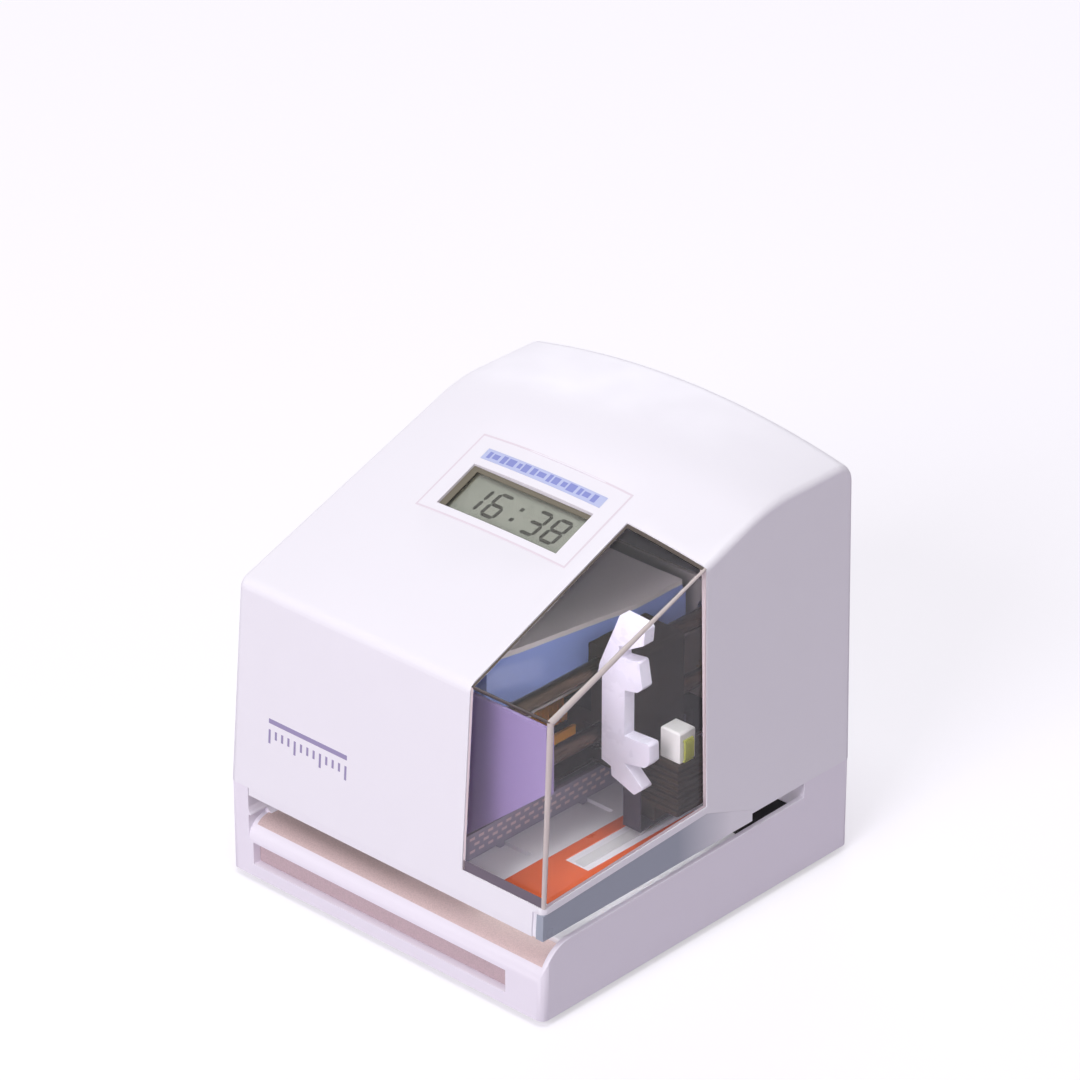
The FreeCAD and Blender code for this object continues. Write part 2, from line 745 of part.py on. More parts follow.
def make_chassis():
    outline = [("base_wall + run_gap - half_width", "-floor_front"), ("floor_right", "-floor_front"),
               ("floor_right", "floor_pad_front"), ("floor_pad_right", "floor_pad_front"),
               ("floor_pad_right", "floor_back"), ("base_wall + run_gap - half_width", "floor_back")]
    floor = pad("FloorPad", "XY_Plane", outline, "seat_height", "floor_top")
    lever = block("FloorLeverSlot", ("switch_x - lever_width - lever_hub", "floor_pad_right + overrun"),
                  ("switch_front - lever_width - 2 * overrun", "switch_front - run_gap"),
                  ("seat_height - overrun", "floor_top + overrun"))
    piece(cut("ChassisFloor", floor, lever), "chassis_floor")
    for label, y, foot in (("front_side_plate", "-plate_front_y", "+"),
                           ("rear_side_plate", "plate_back_y", "-")):
        side = [("-plate_left", "floor_top"), ("floor_right", "floor_top")]
        side += [("floor_right", "floor_top + plate_cut_low"), ("plate_cut_x", "floor_top + plate_cut_low"),
                 ("plate_right", "floor_top + plate_cut_high")] if foot == "+" \
            else [("floor_right", "plate_skirt"), ("plate_right", "plate_skirt")]
        side += [("plate_right", "plate_top"), ("-plate_left", "plate_top")]
        wall = pad(label + "_pad", "XZ_Plane", side, y, "(%s) + sheet" % y)
        inside = ("(%s) + sheet" % y, "(%s) + sheet + plate_foot" % y) if foot == "+" \
            else ("(%s) - plate_foot" % y, y)
        flange = block(label + "_foot", ("-plate_left", "floor_right"), inside,
                       ("floor_top", "floor_top + sheet"))
        wall = join(label + "_bent", wall, flange)
        heights = ("shaft_low", "shaft_high")
        if foot == "+":
            sockets = [rod("%s_socket_%s" % (label, z), "Y", ("shaft_x", "(%s) + sheet / 2" % y, z),
                           "shaft_radius + socket_wall", "sheet / 2 + socket_long") for z in heights]
            wall = join(label + "_sockets", wall, *sockets)
            holes = [rod("%s_bore_%s" % (label, z), "Y", ("shaft_x", "(%s) + sheet" % y, z),
                         "shaft_radius + fit_gap", "socket_long + overrun") for z in heights]
        else:
            holes = [rod("%s_hole_%s" % (label, z), "Y", ("shaft_x", "(%s) - overrun" % y, z),
                         "shaft_radius + fit_gap", "sheet + 2 * overrun") for z in heights]
        mid = "((%s) + (%s)) / 2" % inside
        for n, x in enumerate(bolt_places()):
            holes.append(rod("%s_bolt_%d" % (label, n), "Z", (x, mid, "floor_top - overrun"),
                             "chassis_screw_radius + fit_gap", "sheet + 2 * overrun"))
        piece(cut(label + "_cut", wall, *holes), label)
    make_chassis_screws()
    tray = block("TraySheet", ("-plate_left", "cassette_right"), ("-plate_front_y + sheet", "plate_back_y"),
                 ("tray_height", "tray_top"))
    lip = block("TrayLip", ("-plate_left", "-plate_left + sheet"),
                ("-plate_front_y + sheet", "plate_back_y"),
                ("tray_height", "tray_top + plate_foot / 2"))
    piece(join("CassetteTray", tray, lip), "cassette_tray")


def bolt_places():
    return ["-plate_left + plate_foot", "floor_right - plate_foot"]


def make_chassis_screws():
    screws = []
    for n, y in enumerate(("-plate_front_y + sheet + plate_foot / 2", "plate_back_y - plate_foot / 2")):
        for k, x in enumerate(bolt_places()):
            head = rod("ChassisHead%d%d" % (n, k), "Z", (x, y, "floor_top + sheet"), "chassis_screw_head",
                       "chassis_screw_high")
            shank = rod("ChassisShank%d%d" % (n, k), "Z", (x, y, "floor_top"),
                        "chassis_screw_radius", "sheet + chassis_screw_high")
            screws.append(join("ChassisScrew%d%d" % (n, k), head, shank))
    piece(several("ChassisScrews", *screws), "chassis_screws")


def make_shafts():
    clips = []
    for label, z in (("lower_guide_shaft", "shaft_low"), ("upper_guide_shaft", "shaft_high")):
        piece(rod(label + "_rod", "Y", ("shaft_x", "shaft_front", z), "shaft_radius", "shaft_long"), label)
        for end, y in (("inner", "plate_back_y - clip_sheet"), ("outer", "plate_back_y + sheet")):
            ring = rod("Clip_%s_%s" % (end, z), "Y", ("shaft_x", y, z), "clip_radius", "clip_sheet")
            bore = rod("ClipBore_%s_%s" % (end, z), "Y", ("shaft_x", "%s - overrun" % y, z),
                       "shaft_radius + fit_gap", "clip_sheet + 2 * overrun")
            mouth = block("ClipMouth_%s_%s" % (end, z),
                          ("shaft_x - shaft_radius / 2", "shaft_x + shaft_radius / 2"),
                          ("%s - overrun" % y, "%s + clip_sheet + overrun" % y),
                          ("%s" % z, "%s + clip_radius + overrun" % z))
            clips.append(cut("ClipCut_%s_%s" % (end, z), ring, bore, mouth))
    piece(several("ShaftClips", *clips), "shaft_clips")


# Carriage: black block on the shafts, white guide in front, print head below

def make_carriage():
    body = block("CarriageBlock", ("block_left", "block_right"), ("-block_front", "block_back"),
                 ("block_low", "block_high"))
    body = soften("CarriageEdges", body, "overrun",
                  lambda c, e: runs(e, "y") and c.z > s.block_high - s.hair)
    clamp_x = "belt_x + pulley_radius"
    arm = block("CarriageArm", (clamp_x + " - arm_sheet / 2", "block_left + overrun"),
                ("arm_front", "arm_back"),
                ("block_low", "block_low + arm_sheet"))
    grip = block("CarriageGrip", (clamp_x + " - arm_sheet / 2", clamp_x + " + arm_sheet"),
                 ("arm_front", "arm_back"),
                 ("belt_low - overrun / 2", "block_low + arm_sheet"))
    bores = [rod("CarriageBore_" + z, "Y", ("shaft_x", "-block_front - overrun", z),
                 "shaft_radius + fit_gap",
                 "block_front + block_back + 2 * overrun") for z in ("shaft_low", "shaft_high")]
    slot = block("CarriageBeltSlot", (clamp_x + " - run_gap", clamp_x + " + belt_thick + run_gap"),
                 ("arm_front - overrun", "arm_back + overrun"),
                 ("belt_low - overrun", "belt_low + belt_width + run_gap"))
    whole = join("CarriageWhole", body, arm, grip)
    piece(cut("Carriage", whole, slot, *bores), "carriage_block")


def make_guide():
    """C-shaped guide: upright bar, two hooked prongs at the top and two at the bottom."""
    wide = "(guide_right - guide_left)"
    tall = "(guide_high - guide_low)"

    def at(across, up):
        return ("guide_left + %s * %s" % (wide, across), "guide_low + %s * %s" % (tall, up))
    # shares of the guide's own width and height, chosen by eye, from the bottom left round
    outline_shares = [(0.0, 0.02), (0.42, 0.0), (0.45, -0.06), (1.45, -0.12), (1.83, -0.06), (1.02, 0.06),
                      (1.9, 0.09), (2.1, 0.13), (2.08, 0.25), (1.0, 0.24), (1.0, 0.54), (1.55, 0.56),
                      (1.76, 0.60), (1.6, 0.76), (0.86, 0.74), (0.86, 0.80), (1.2, 0.82), (1.8, 0.88),
                      (1.86, 0.99), (0.9, 1.0), (0.0, 0.62)]
    body = pad("GuidePad", "XZ_Plane", [at(a, b) for a, b in outline_shares], "guide_front", "-block_front")
    doc.recompute()
    rounded = body.newObject("PartDesign::Fillet", "GuideRound")
    tips = [n for n, edge in enumerate(body.Shape.Edges, 1)
            if runs(edge, "y") and edge.CenterOfMass.x > s.guide_right + s.overrun]
    rounded.Base = (doc.getObject("GuidePad_pad"), ["Edge%d" % n for n in tips])
    bind(rounded, Radius="clip_sheet")
    body.Tip = rounded
    piece(body, "ribbon_guide")


def make_head():
    body = block("HeadBody", ("head_left", "head_right"), ("head_front", "head_back"),
                 ("head_low", "block_low"))
    pitch = "(block_low - head_low) / (fin_count + 1)"
    gaps = []
    for n in range(int(s.fin_count)):
        z = "head_low + %s * %d" % (pitch, n + 1)
        gaps.append(block("HeadGapFront%d" % n, ("head_left - overrun", "head_right + overrun"),
                          ("head_front - overrun", "head_front + fin_depth"),
                          (z + " - fin_gap / 2", z + " + fin_gap / 2")))
        gaps.append(block("HeadGapSide%d" % n, ("head_right - fin_depth", "head_right + overrun"),
                          ("head_front - overrun", "head_back + overrun"),
                          (z + " - fin_gap / 2", z + " + fin_gap / 2")))
    finned = cut("HeadFinned", body, *gaps)
    middle = "(head_front + head_back) / 2"
    nose = block("HeadNose", ("print_x - nose_width / 2", "print_x + nose_width / 2"),
                 (middle + " - nose_depth / 2", middle + " + nose_depth / 2"),
                 ("nose_tip + ribbon_drop", "head_low"))
    tip = cone("HeadTip", "Z", ("print_x", middle, "nose_tip"), "needle_radius", "needle_radius * 2",
               "ribbon_drop")
    piece(join("PrintHead", finned, nose, tip), "print_head")
    plug = block("HeadPlugBody", ("plug_left", "plug_left + plug_width"),
                 ("head_front + overrun", "head_front + overrun + plug_depth"),
                 ("block_low", "block_low + plug_height"))
    plug = soften("HeadPlugRound", plug, "clip_sheet",
                  lambda c, e: c.z > s.block_low + s.plug_height - s.hair)
    piece(plug, "head_connector")
    lead = block("HeadLeadSide", ("plug_left + plug_width", "plug_left + plug_width + lead_thick"),
                 ("head_front + overrun + lead_width / 2",
                  "head_front + overrun + plug_depth - lead_width / 2"),
                 ("block_low", "block_low + plug_height - lead_width"))
    piece(lead, "head_lead")


def make_ribbon():
    """Inked band: down behind the guide, under the nose and up behind the head."""
    left = "print_x - ribbon_width / 2"
    right = "print_x + ribbon_width / 2"
    front = "head_front - run_gap"
    back = "head_back + run_gap"
    low = "nose_tip - run_gap"
    under = block("RibbonUnder", (left, right), (front + " - ribbon_thick", back + " + ribbon_thick"),
                  (low + " - ribbon_thick", low))
    down = block("RibbonDown", (left, right), (front + " - ribbon_thick", front),
                 (low + " - ribbon_thick", "block_low - fit_gap"))
    up = block("RibbonUp", (left, right), (back, back + " + ribbon_thick"),
               (low + " - ribbon_thick", "block_low + arm_sheet"))
    piece(join("Ribbon", under, down, up), "ribbon")


# Belt drive under the tray

def make_drive():
    back = "pulley_back_y"
    front = "-pulley_front_y"
    for label, y in (("drive_pulley", back), ("idler_pulley", front)):
        hub = rod(label + "_hub", "Z", ("belt_x", y, "belt_low - run_gap"), "pulley_radius - run_gap",
                  "belt_width + 2 * run_gap")
        flanges = [rod("%s_flange_%d" % (label, n), "Z", ("belt_x", y, z), "flange_radius", "flange_sheet")
                   for n, z in enumerate(("belt_low - run_gap - flange_sheet",
                                          "belt_low + belt_width + run_gap"))]
        whole = join(label + "_whole", hub, *flanges)
        notches = []
        for n in range(int(s.pulley_teeth)):
            turn = "360 * %d / pulley_teeth" % n
            notches.append(rod("%s_notch_%d" % (label, n), "Z",
                               ("belt_x + pulley_radius * cos(%s)" % turn,
                                "%s + pulley_radius * sin(%s)" % (y, turn),
                                "belt_low - run_gap"), "tooth_depth", "belt_width + 2 * run_gap"))
        bore = rod(label + "_bore", "Z", ("belt_x", y, "belt_low - overrun - flange_sheet"),
                   "pulley_bore + fit_gap",
                   "belt_width + 2 * overrun + 2 * flange_sheet")
        piece(cut(label + "_cut", whole, bore, *notches), label)
    loop = []
    for name, grow in (("BeltOuter", "pulley_radius + belt_thick"), ("BeltInner", "pulley_radius")):
        ends = [rod(name + end, "Z", ("belt_x", y, "belt_low"), grow, "belt_width")
                for end, y in (("Back", back), ("Front", front))]
        run = block(name + "Run", ("belt_x - (%s)" % grow, "belt_x + %s" % grow), (front, back),
                    ("belt_low", "belt_low + belt_width"))
        loop.append(join(name, run, *ends))
    piece(cut("TimingBelt", *loop), "timing_belt")


def make_motor():
    can = rod("MotorCan", "Z", ("belt_x", "pulley_back_y", "floor_top"), "motor_radius",
              "motor_height - overrun / 2")
    can = soften("MotorRound", can, "clip_sheet", lambda c, e: level(e) and c.z > s.floor_top + s.hair)
    boss = rod("MotorBoss", "Z", ("belt_x", "pulley_back_y", "floor_top"), "motor_boss",
               "motor_height - run_gap")
    shaft = rod("MotorShaft", "Z", ("belt_x", "pulley_back_y", "floor_top"), "pulley_bore",
                "belt_low + belt_width + overrun - floor_top")
    ears = block("MotorEars", ("belt_x - motor_ear", "belt_x + motor_ear"),
                 ("pulley_back_y - clip_radius", "pulley_back_y + clip_radius"),
                 ("floor_top", "floor_top + sheet"))
    piece(join("CarriageMotor", can, boss, shaft, ears), "carriage_motor")
    screws = []
    for n, sign in enumerate(("-", "+")):
        x = "belt_x %s motor_ear %s clip_radius / 2" % (sign, "+" if sign == "-" else "-")
        screws.append(rod("MotorScrew%d" % n, "Z", (x, "pulley_back_y", "floor_top + sheet"),
                          "chassis_screw_head", "chassis_screw_high"))
    piece(several("MotorScrews", *screws), "motor_screws")
    base = rod("IdlerBase", "Z", ("belt_x", "-pulley_front_y", "floor_top"), "idler_post",
               "belt_low - flange_sheet - 2 * run_gap - floor_top")
    pin = rod("IdlerPin", "Z", ("belt_x", "-pulley_front_y", "floor_top"), "pulley_bore",
              "belt_low + belt_width + overrun - floor_top")
    piece(join("IdlerPost", base, pin), "idler_post")


# Ribbon cassette on its tray

def cassette_outline(inset):
    return [("%s - cassette_left" % inset, "%s - cassette_front" % inset),
            ("cassette_right - cassette_taper - %s" % inset, "%s - cassette_front" % inset),
            ("cassette_right - %s" % inset, "cassette_bend"),
            ("cassette_right - %s" % inset, "cassette_back - %s" % inset),
            ("%s - cassette_left" % inset, "cassette_back - %s" % inset)]


def make_cassette():
    outer = pad("CassetteOuter", "XY_Plane", cassette_outline("0"), "tray_top", "lid_low")
    inner = pad("CassetteInner", "XY_Plane", cassette_outline("cassette_wall"), "tray_top + cassette_wall",
                "lid_low + overrun")
    piece(cut("Cassette", outer, inner), "ribbon_cassette")
    lid = pad("LidPad", "XY_Plane", cassette_outline("0"), "lid_low", "lid_top")
    hole = rod("LidHole", "Z", ("-knob_x", "knob_y", "lid_low - overrun"), "knob_stem + run_gap",
               "lid_sheet + 2 * overrun")
    piece(cut("Lid", lid, hole), "cassette_lid")
    low = "tray_top + cassette_wall + run_gap"
    spool = rod("KnobSpool", "Z", ("-knob_x", "knob_y", low), "spool_radius",
                "cassette_height - cassette_wall - 2 * run_gap")
    stem = rod("KnobStem", "Z", ("-knob_x", "knob_y", low), "knob_stem",
               "lid_top + knob_height - (%s)" % low)
    cap = rod("KnobCap", "Z", ("-knob_x", "knob_y", "lid_top + run_gap"), "knob_radius", "knob_height")
    notches = []
    for n in range(int(s.knob_notches)):
        turn = "360 * %d / knob_notches" % n
        x = "-knob_x + (knob_radius + knob_notch / 2) * cos(%s)" % turn
        y = "knob_y + (knob_radius + knob_notch / 2) * sin(%s)" % turn
        notches.append(rod("KnobNotch%d" % n, "Z", (x, y, "lid_top"), "knob_notch",
                           "knob_height + overrun"))
    cap = cut("KnobFluted", cap, *notches)
    grip = block("KnobGrip", ("-knob_x - knob_radius * grip_share", "-knob_x + knob_radius * grip_share"),
                 ("knob_y - knob_notch", "knob_y + knob_notch"),
                 ("lid_top + knob_height / 2", "lid_top + knob_height + overrun"))
    piece(join("RibbonKnob", spool, stem, cap, grip), "ribbon_knob")


# Electronics at the left under the cover

def make_board():
    piece(block("MainBoard", ("-board_left", "-board_right"), ("-board_front", "board_back"),
                ("board_low", "board_top")), "main_board")
    spots = [(x, y) for x in ("standoff_inset - board_left", "-standoff_inset - board_right")
             for y in ("standoff_inset - board_front", "board_back - standoff_inset")]
    posts = [rod("Standoff%d" % n, "Z", (x, y, "floor_top"), "standoff_radius", "standoff_height")
             for n, (x, y) in enumerate(spots)]
    piece(several("Standoffs", *posts), "board_standoffs")
    battery_y = "(board_back - battery_radius - part_gap)"
    back = "(%s - battery_radius - part_gap)" % battery_y
    battery = rod("Battery", "X", ("part_gap - board_left", battery_y, "board_top + battery_radius"),
                  "battery_radius", "battery_length")
    piece(battery, "backup_battery")
    chip = block("Chip", ("-board_right - part_gap - chip_wide", "-board_right - part_gap"),
                 (back + " - chip_long", back), ("board_top", "board_top + chip_high"))
    piece(chip, "controller_chip")
    caps = []
    for n in range(2):
        step = "(part_gap + 2 * capacitor_radius) * %d" % n
        can = rod("CapacitorCan%d" % n, "Z", ("part_gap + capacitor_radius - board_left",
                                              back + " - capacitor_radius - " + step, "board_top"),
                  "capacitor_radius", "capacitor_height")
        caps.append(soften("CapacitorRound%d" % n, can, "clip_sheet",
                           lambda c, e: level(e) and c.z > s.board_top + s.hair))
    piece(several("Capacitors", *caps), "capacitors")
    spot = ("-board_right - part_gap - buzzer_radius", "buzzer_radius + part_gap - board_front")
    buzzer = rod("BuzzerCan", "Z", spot + ("board_top",), "buzzer_radius", "buzzer_height")
    sound = rod("BuzzerHole", "Z", spot + ("board_top + overrun",), "buzzer_radius / 5", "buzzer_height")
    piece(cut("Buzzer", buzzer, sound), "buzzer")
    housings = []
    for n, label in enumerate(("select_key", "change_key", "set_key")):
        y = "-key_y + key_pitch * %d" % n
        housing = block("KeyHousing%d" % n, ("-key_x - key_size / 2", "-key_x + key_size / 2"),
                        (y + " - key_size / 2", y + " + key_size / 2"),
                        ("board_top", "board_top + key_base_high"))
        well = rod("KeyWell%d" % n, "Z", ("-key_x", y, "board_top + key_stroke"),
                   "key_cap_radius - 2 * run_gap",
                   "key_base_high + overrun")
        housings.append(cut("KeyShell%d" % n, housing, well))
        stem = rod("KeyStem%d" % n, "Z", ("-key_x", y, "board_top + 2 * key_stroke + run_gap"),
                   "key_cap_radius - 3 * run_gap", "key_base_high")
        cap = rod("KeyCap%d" % n, "Z", ("-key_x", y, "board_top + key_base_high + key_stroke + run_gap"),
                  "key_cap_radius",
                  "key_cap_high")
        piece(join("Key%d" % n, stem, cap), label)
    piece(several("KeyHousings", *housings), "key_housings")


def make_transformer():
    front = "core_back - core_wide"
    core = block("CoreBlock", ("-core_left", "core_long - core_left"), (front, "core_back"),
                 ("floor_top", "floor_top + core_high"))
    window = block("CoreWindow", ("-core_left + coil_margin", "core_long - core_left - coil_margin"),
                   (front + " - overrun", "core_back + overrun"),
                   ("floor_top + coil_margin", "floor_top + core_high - coil_margin"))
    piece(cut("Core", core, window), "transformer_core")
    coil = block("CoilBlock", ("-core_left + coil_margin + run_gap",
                               "core_long - core_left - coil_margin - run_gap"),
                 (front + " - coil_over", "core_back + coil_over"),
                 ("floor_top + coil_margin", "floor_top + core_high - coil_margin - run_gap"))
    middle = s.core_back - s.core_wide / 2
    coil = soften("CoilRound", coil, "coil_round",
                  lambda c, e: level(e) and abs(c.y - middle) > s.core_wide / 2 + s.hair)
    piece(coil, "transformer_coil")


def make_inlet():
    at = ("-inlet_x", "half_depth - inlet_length", "inlet_z")
    barrel = rod("InletBarrel", "Y", at, "inlet_radius", "inlet_length")
    flange = rod("InletFlange", "Y", ("-inlet_x", "half_depth - base_wall - inlet_flange_sheet", "inlet_z"),
                 "inlet_flange", "inlet_flange_sheet")
    bore = rod("InletBore", "Y", ("-inlet_x", "half_depth - inlet_length + overrun", "inlet_z"),
               "inlet_bore",
               "inlet_length")
    pin = rod("InletPin", "Y", ("-inlet_x", "half_depth - inlet_length", "inlet_z"), "inlet_pin",
              "inlet_length - overrun")
    piece(join("PowerInlet", cut("InletHollow", join("InletWhole", barrel, flange), bore), pin),
          "power_inlet")


# Trigger at the back of the throat: a finger that the paper pushes

def make_trigger():
    body = block("SwitchBody", ("switch_x - switch_half", "switch_x + switch_half"),
                 ("switch_front", "switch_front + switch_length"),
                 ("floor_top", "floor_top + switch_height"))
    pin = rod("SwitchPin", "Y", ("switch_x", "switch_front - lever_width - overrun", "lever_z"),
              "lever_pin",
              "lever_width + 2 * overrun")
    piece(join("PaperSwitch", body, pin), "paper_switch")
    y0 = "switch_front - lever_width - run_gap"
    y1 = "switch_front - run_gap"
    hub = rod("LeverHub", "Y", ("switch_x", y0, "lever_z"), "lever_hub", "lever_width")
    finger = block("LeverFinger", ("switch_x - lever_arm / 2", "switch_x + lever_arm / 2"), (y0, y1),
                   ("deck_top + lever_reach", "lever_z"))
    whole = join("LeverWhole", hub, finger)
    bore = rod("LeverBore", "Y", ("switch_x", "%s - overrun" % y0, "lever_z"), "lever_pin + fit_gap",
               "lever_width + 2 * overrun")
    piece(cut("TriggerLever", whole, bore), "trigger_lever")


# Cover: leaning front, long slope and a short crowned roof

def meet(first, second):
    """The point where two lines, each a point and a direction, cross."""
    (a, b), (da, db) = first
    (c, d), (dc, dd) = second
    share = ((c - a) * dd - (d - b) * dc) / (da * dd - db * dc)
    return (a + share * da, b + share * db)


def hood_body(inset, floor, rounds):
    """The closed form of the cover, drawn in by inset from its skin."""
    front = math.hypot(s.lean, s.brow_height - s.seat_height)
    front_way = (s.lean / front, (s.brow_height - s.seat_height) / front)
    slope = math.hypot(s.slope_run, s.slope_rise)
    slope_way = (s.slope_run / slope, s.slope_rise / slope)
    front_line = ((-s.half_depth + front_way[1] * inset, s.seat_height - front_way[0] * inset), front_way)
    slope_line = ((s.lean - s.half_depth + slope_way[1] * inset, s.brow_height - slope_way[0] * inset),
                  slope_way)
    level = (1, 0)
    roof = s.roof_height - inset
    back = s.half_depth - inset
    places = {"foot": meet(front_line, ((0, floor), level)), "brow": meet(front_line, slope_line),
              "crease": meet(slope_line, ((0, roof), level)), "top": (back, roof), "heel": (back, floor)}

    def corner(name, side):
        y, z = places[name]
        return FreeCAD.Vector(side * (s.half_width - inset - s.draft_share * (z - s.seat_height)), y, z)
    left = {name: corner(name, -1) for name in places}
    right = {name: corner(name, 1) for name in places}

    def arch(name):
        y, z = places[name]
        return Part.Arc(left[name], FreeCAD.Vector(0, y, z + s.crown), right[name]).toShape()
    crease = arch("crease")
    top = arch("top")
    brow = Part.makeLine(left["brow"], right["brow"])
    faces = [Part.makeRuledSurface(brow, crease), Part.makeRuledSurface(crease, top),
             flat(left["foot"], right["foot"], right["brow"], left["brow"]),
             flat(left["foot"], right["foot"], right["heel"], left["heel"]),
             Part.Face(Part.Wire([Part.makeLine(left["heel"], right["heel"]),
                                  Part.makeLine(right["heel"], right["top"]),
                                  top, Part.makeLine(left["top"], left["heel"])]))]
    faces += [flat(*[side[name] for name in ("foot", "brow", "crease", "top", "heel")])
              for side in (left, right)]
    shell = Part.makeShell(faces)
    shell.sewShape()
    body = Part.makeSolid(shell)
    if body.Volume < 0:
        body.reverse()
    if not rounds:
        return body
    crease_y, crease_z = places["crease"]
    brow_z = places["brow"][1]
    middle = s.overrun
    half_turn = math.atan2(s.slope_rise, s.slope_run) / 2
    crease_round = s.crease_share * s.roof_long / math.tan(half_turn)
    tests = [(crease_round - inset, lambda c: abs(c.x) < middle and abs(c.y - crease_y) < s.crown
              and c.z > crease_z - s.hair),
             (s.brow_round - inset, lambda c: abs(c.x) < middle and abs(c.z - brow_z) < s.hair),
             (s.back_round - inset, lambda c: abs(c.x) < middle and c.y > back - s.hair and c.z > brow_z),
             (s.rim_round - inset, lambda c: abs(c.x) > s.half_width - s.brow_round - inset
              and c.z > floor + s.hair)]
    for radius, test in tests:
        if radius > s.fit_gap:
            body = body.makeFillet(radius, [edge for edge in body.Edges if test(edge.CenterOfMass)])
    return body


def flat(*points):
    return Part.Face(Part.makePolygon(list(points) + [points[0]]))


def side_prism(points, x0, x1):
    """A prism across X on an outline in the YZ plane."""
    face = flat(*[FreeCAD.Vector(x0, y, z) for y, z in points])
    return face.extrude(FreeCAD.Vector(x1 - x0, 0, 0))


def window_prism(gap):
    """The corner that the window takes out of the cover, drawn in by gap."""
    far = s.half_depth * 3
    outline = [(-far, s.window_low + gap), (-s.half_depth, s.window_low + gap),
               (s.window_back - gap, s.window_back_low + gap), (s.window_back - gap, far), (-far, far)]
    return side_prism(outline, s.window_left + gap, far)


def on_slope(across, along, depth):
    """A point in the display's own plane: across, up the slope and down into the cover."""
    angle = math.atan2(s.slope_rise, s.slope_run)
    lift = s.crown * share_up(along) * s.crown_share
    y = s.lean - s.half_depth + along * math.cos(angle) + depth * math.sin(angle)
    z = s.brow_height + along * math.sin(angle) - depth * math.cos(angle) + lift
    return FreeCAD.Vector(across, y, z)


def share_up(along):
    return along / math.hypot(s.slope_run, s.slope_rise)


def slope_box(across, along, depth):
    """A box that lies in the tilted plane of the display."""
    points = [on_slope(a, b, depth[0]) for a, b in ((across[0], along[0]), (across[1], along[0]),
                                                    (across[1], along[1]), (across[0], along[1]))]
    down = on_slope(0, along[0], 1) - on_slope(0, along[0], 0)
    return flat(*points).extrude(down * (depth[1] - depth[0]))


def make_cover():
    outer = hood_body(0, s.skirt_low, True)
    inner = hood_body(s.hood_wall, s.skirt_low - s.overrun, False)
    wall = outer.cut(inner).cut(below_seat())
    left = s.display_x - s.display_half
    right = s.display_x + s.display_half
    near = s.display_near
    far = near + s.display_long
    bosses = [slope_box((x - s.boss_radius, x + s.boss_radius), (y - s.boss_radius, y + s.boss_radius),
                        (s.hood_wall / 2, s.lcd_drop + s.lcd_thick))
              for x in (left - s.lcd_board_margin + s.boss_radius,
                        right + s.lcd_board_margin - s.boss_radius)
              for y in (near - s.boss_radius, far + s.boss_radius)]
    wall = wall.fuse([boss.common(outer) for boss in bosses])
    recess = slope_box((left - s.bezel_side, right + s.bezel_side),
                       (near - s.bezel_near, far + s.bezel_far),
                       (-s.crown, s.crown)).cut(hood_body(s.bezel_sheet, s.seat_height, False))
    hole = slope_box((left, right), (near, far), (-s.crown, s.lcd_drop * 3))
    back = FreeCAD.Vector(0, 1, 0)
    lock = Part.makeCylinder(s.lock_radius + s.run_gap, s.half_depth,
                             FreeCAD.Vector(s.lock_x, s.half_depth / 2, s.lock_z), back)
    rim = Part.makeCylinder(s.lock_rim + s.run_gap, s.half_depth,
                            FreeCAD.Vector(s.lock_x, s.half_depth - s.lock_rim_sheet, s.lock_z), back)
    strip = rail_prism(0).cut(hood_body(s.rail_sheet, s.skirt_low - 2 * s.overrun, False))
    cover = wall.cut([window_prism(0), recess, hole, lock, rim, strip])
    cover = cover.removeSplitter()
    piece(solid_from("TopCover", cover), "top_cover")
    make_window(outer)
    make_rail()
    make_display(left, right, near, far)


def below_seat():
    """All that lies under the seat, but for the skirt that hangs over the throat."""
    far = s.half_depth * 2
    corner = FreeCAD.Vector(s.run_gap - s.throat_left, -s.half_depth, s.skirt_low - s.overrun)
    skirt = Part.makeBox(s.throat_left - s.run_gap + s.half_width, s.half_depth + s.rail_back,
                         s.skirt_drop + 2 * s.overrun, corner)
    slab = Part.makeBox(2 * far, 2 * far, s.skirt_drop + s.overrun,
                        FreeCAD.Vector(-far, -far, s.skirt_low - s.overrun))
    return slab.cut(skirt)


def make_window(outer):
    skin = hood_body(s.pane_set, s.seat_height - s.overrun, False)
    core = hood_body(s.pane_set + s.pane, s.seat_height - 2 * s.overrun, False)
    pane = skin.cut(core).common(window_prism(s.run_gap))
    piece(solid_from("CornerWindow", pane.removeSplitter()), "corner_window")


def rail_prism(gap):
    """The strip under the window, tapering towards the back."""
    low = s.skirt_low
    outline = [(-s.half_depth - s.overrun, low - s.overrun), (s.rail_back - gap, low - s.overrun),
               (s.rail_back - gap, s.rail_back_high - gap),
               (s.window_back, s.window_back_low - s.hood_wall - gap),
               (-s.half_depth - s.overrun, s.window_low - s.hood_wall - gap)]
    return side_prism(outline, s.half_width - s.hood_wall * 2, s.half_width + s.overrun)


def make_rail():
    band = hood_body(s.fit_gap, s.skirt_low,
                     False).cut(hood_body(s.rail_sheet, s.skirt_low - s.overrun, False))
    back_off = Part.makeBox(s.rail_sheet * 4, s.half_depth * 2, s.brow_height,
                            FreeCAD.Vector(s.half_width - s.rail_sheet * 4, -s.half_depth, 0))
    strip = band.common(rail_prism(s.fit_gap)).common(back_off)
    piece(solid_from("WindowRail", strip.removeSplitter()), "window_sill_rail")


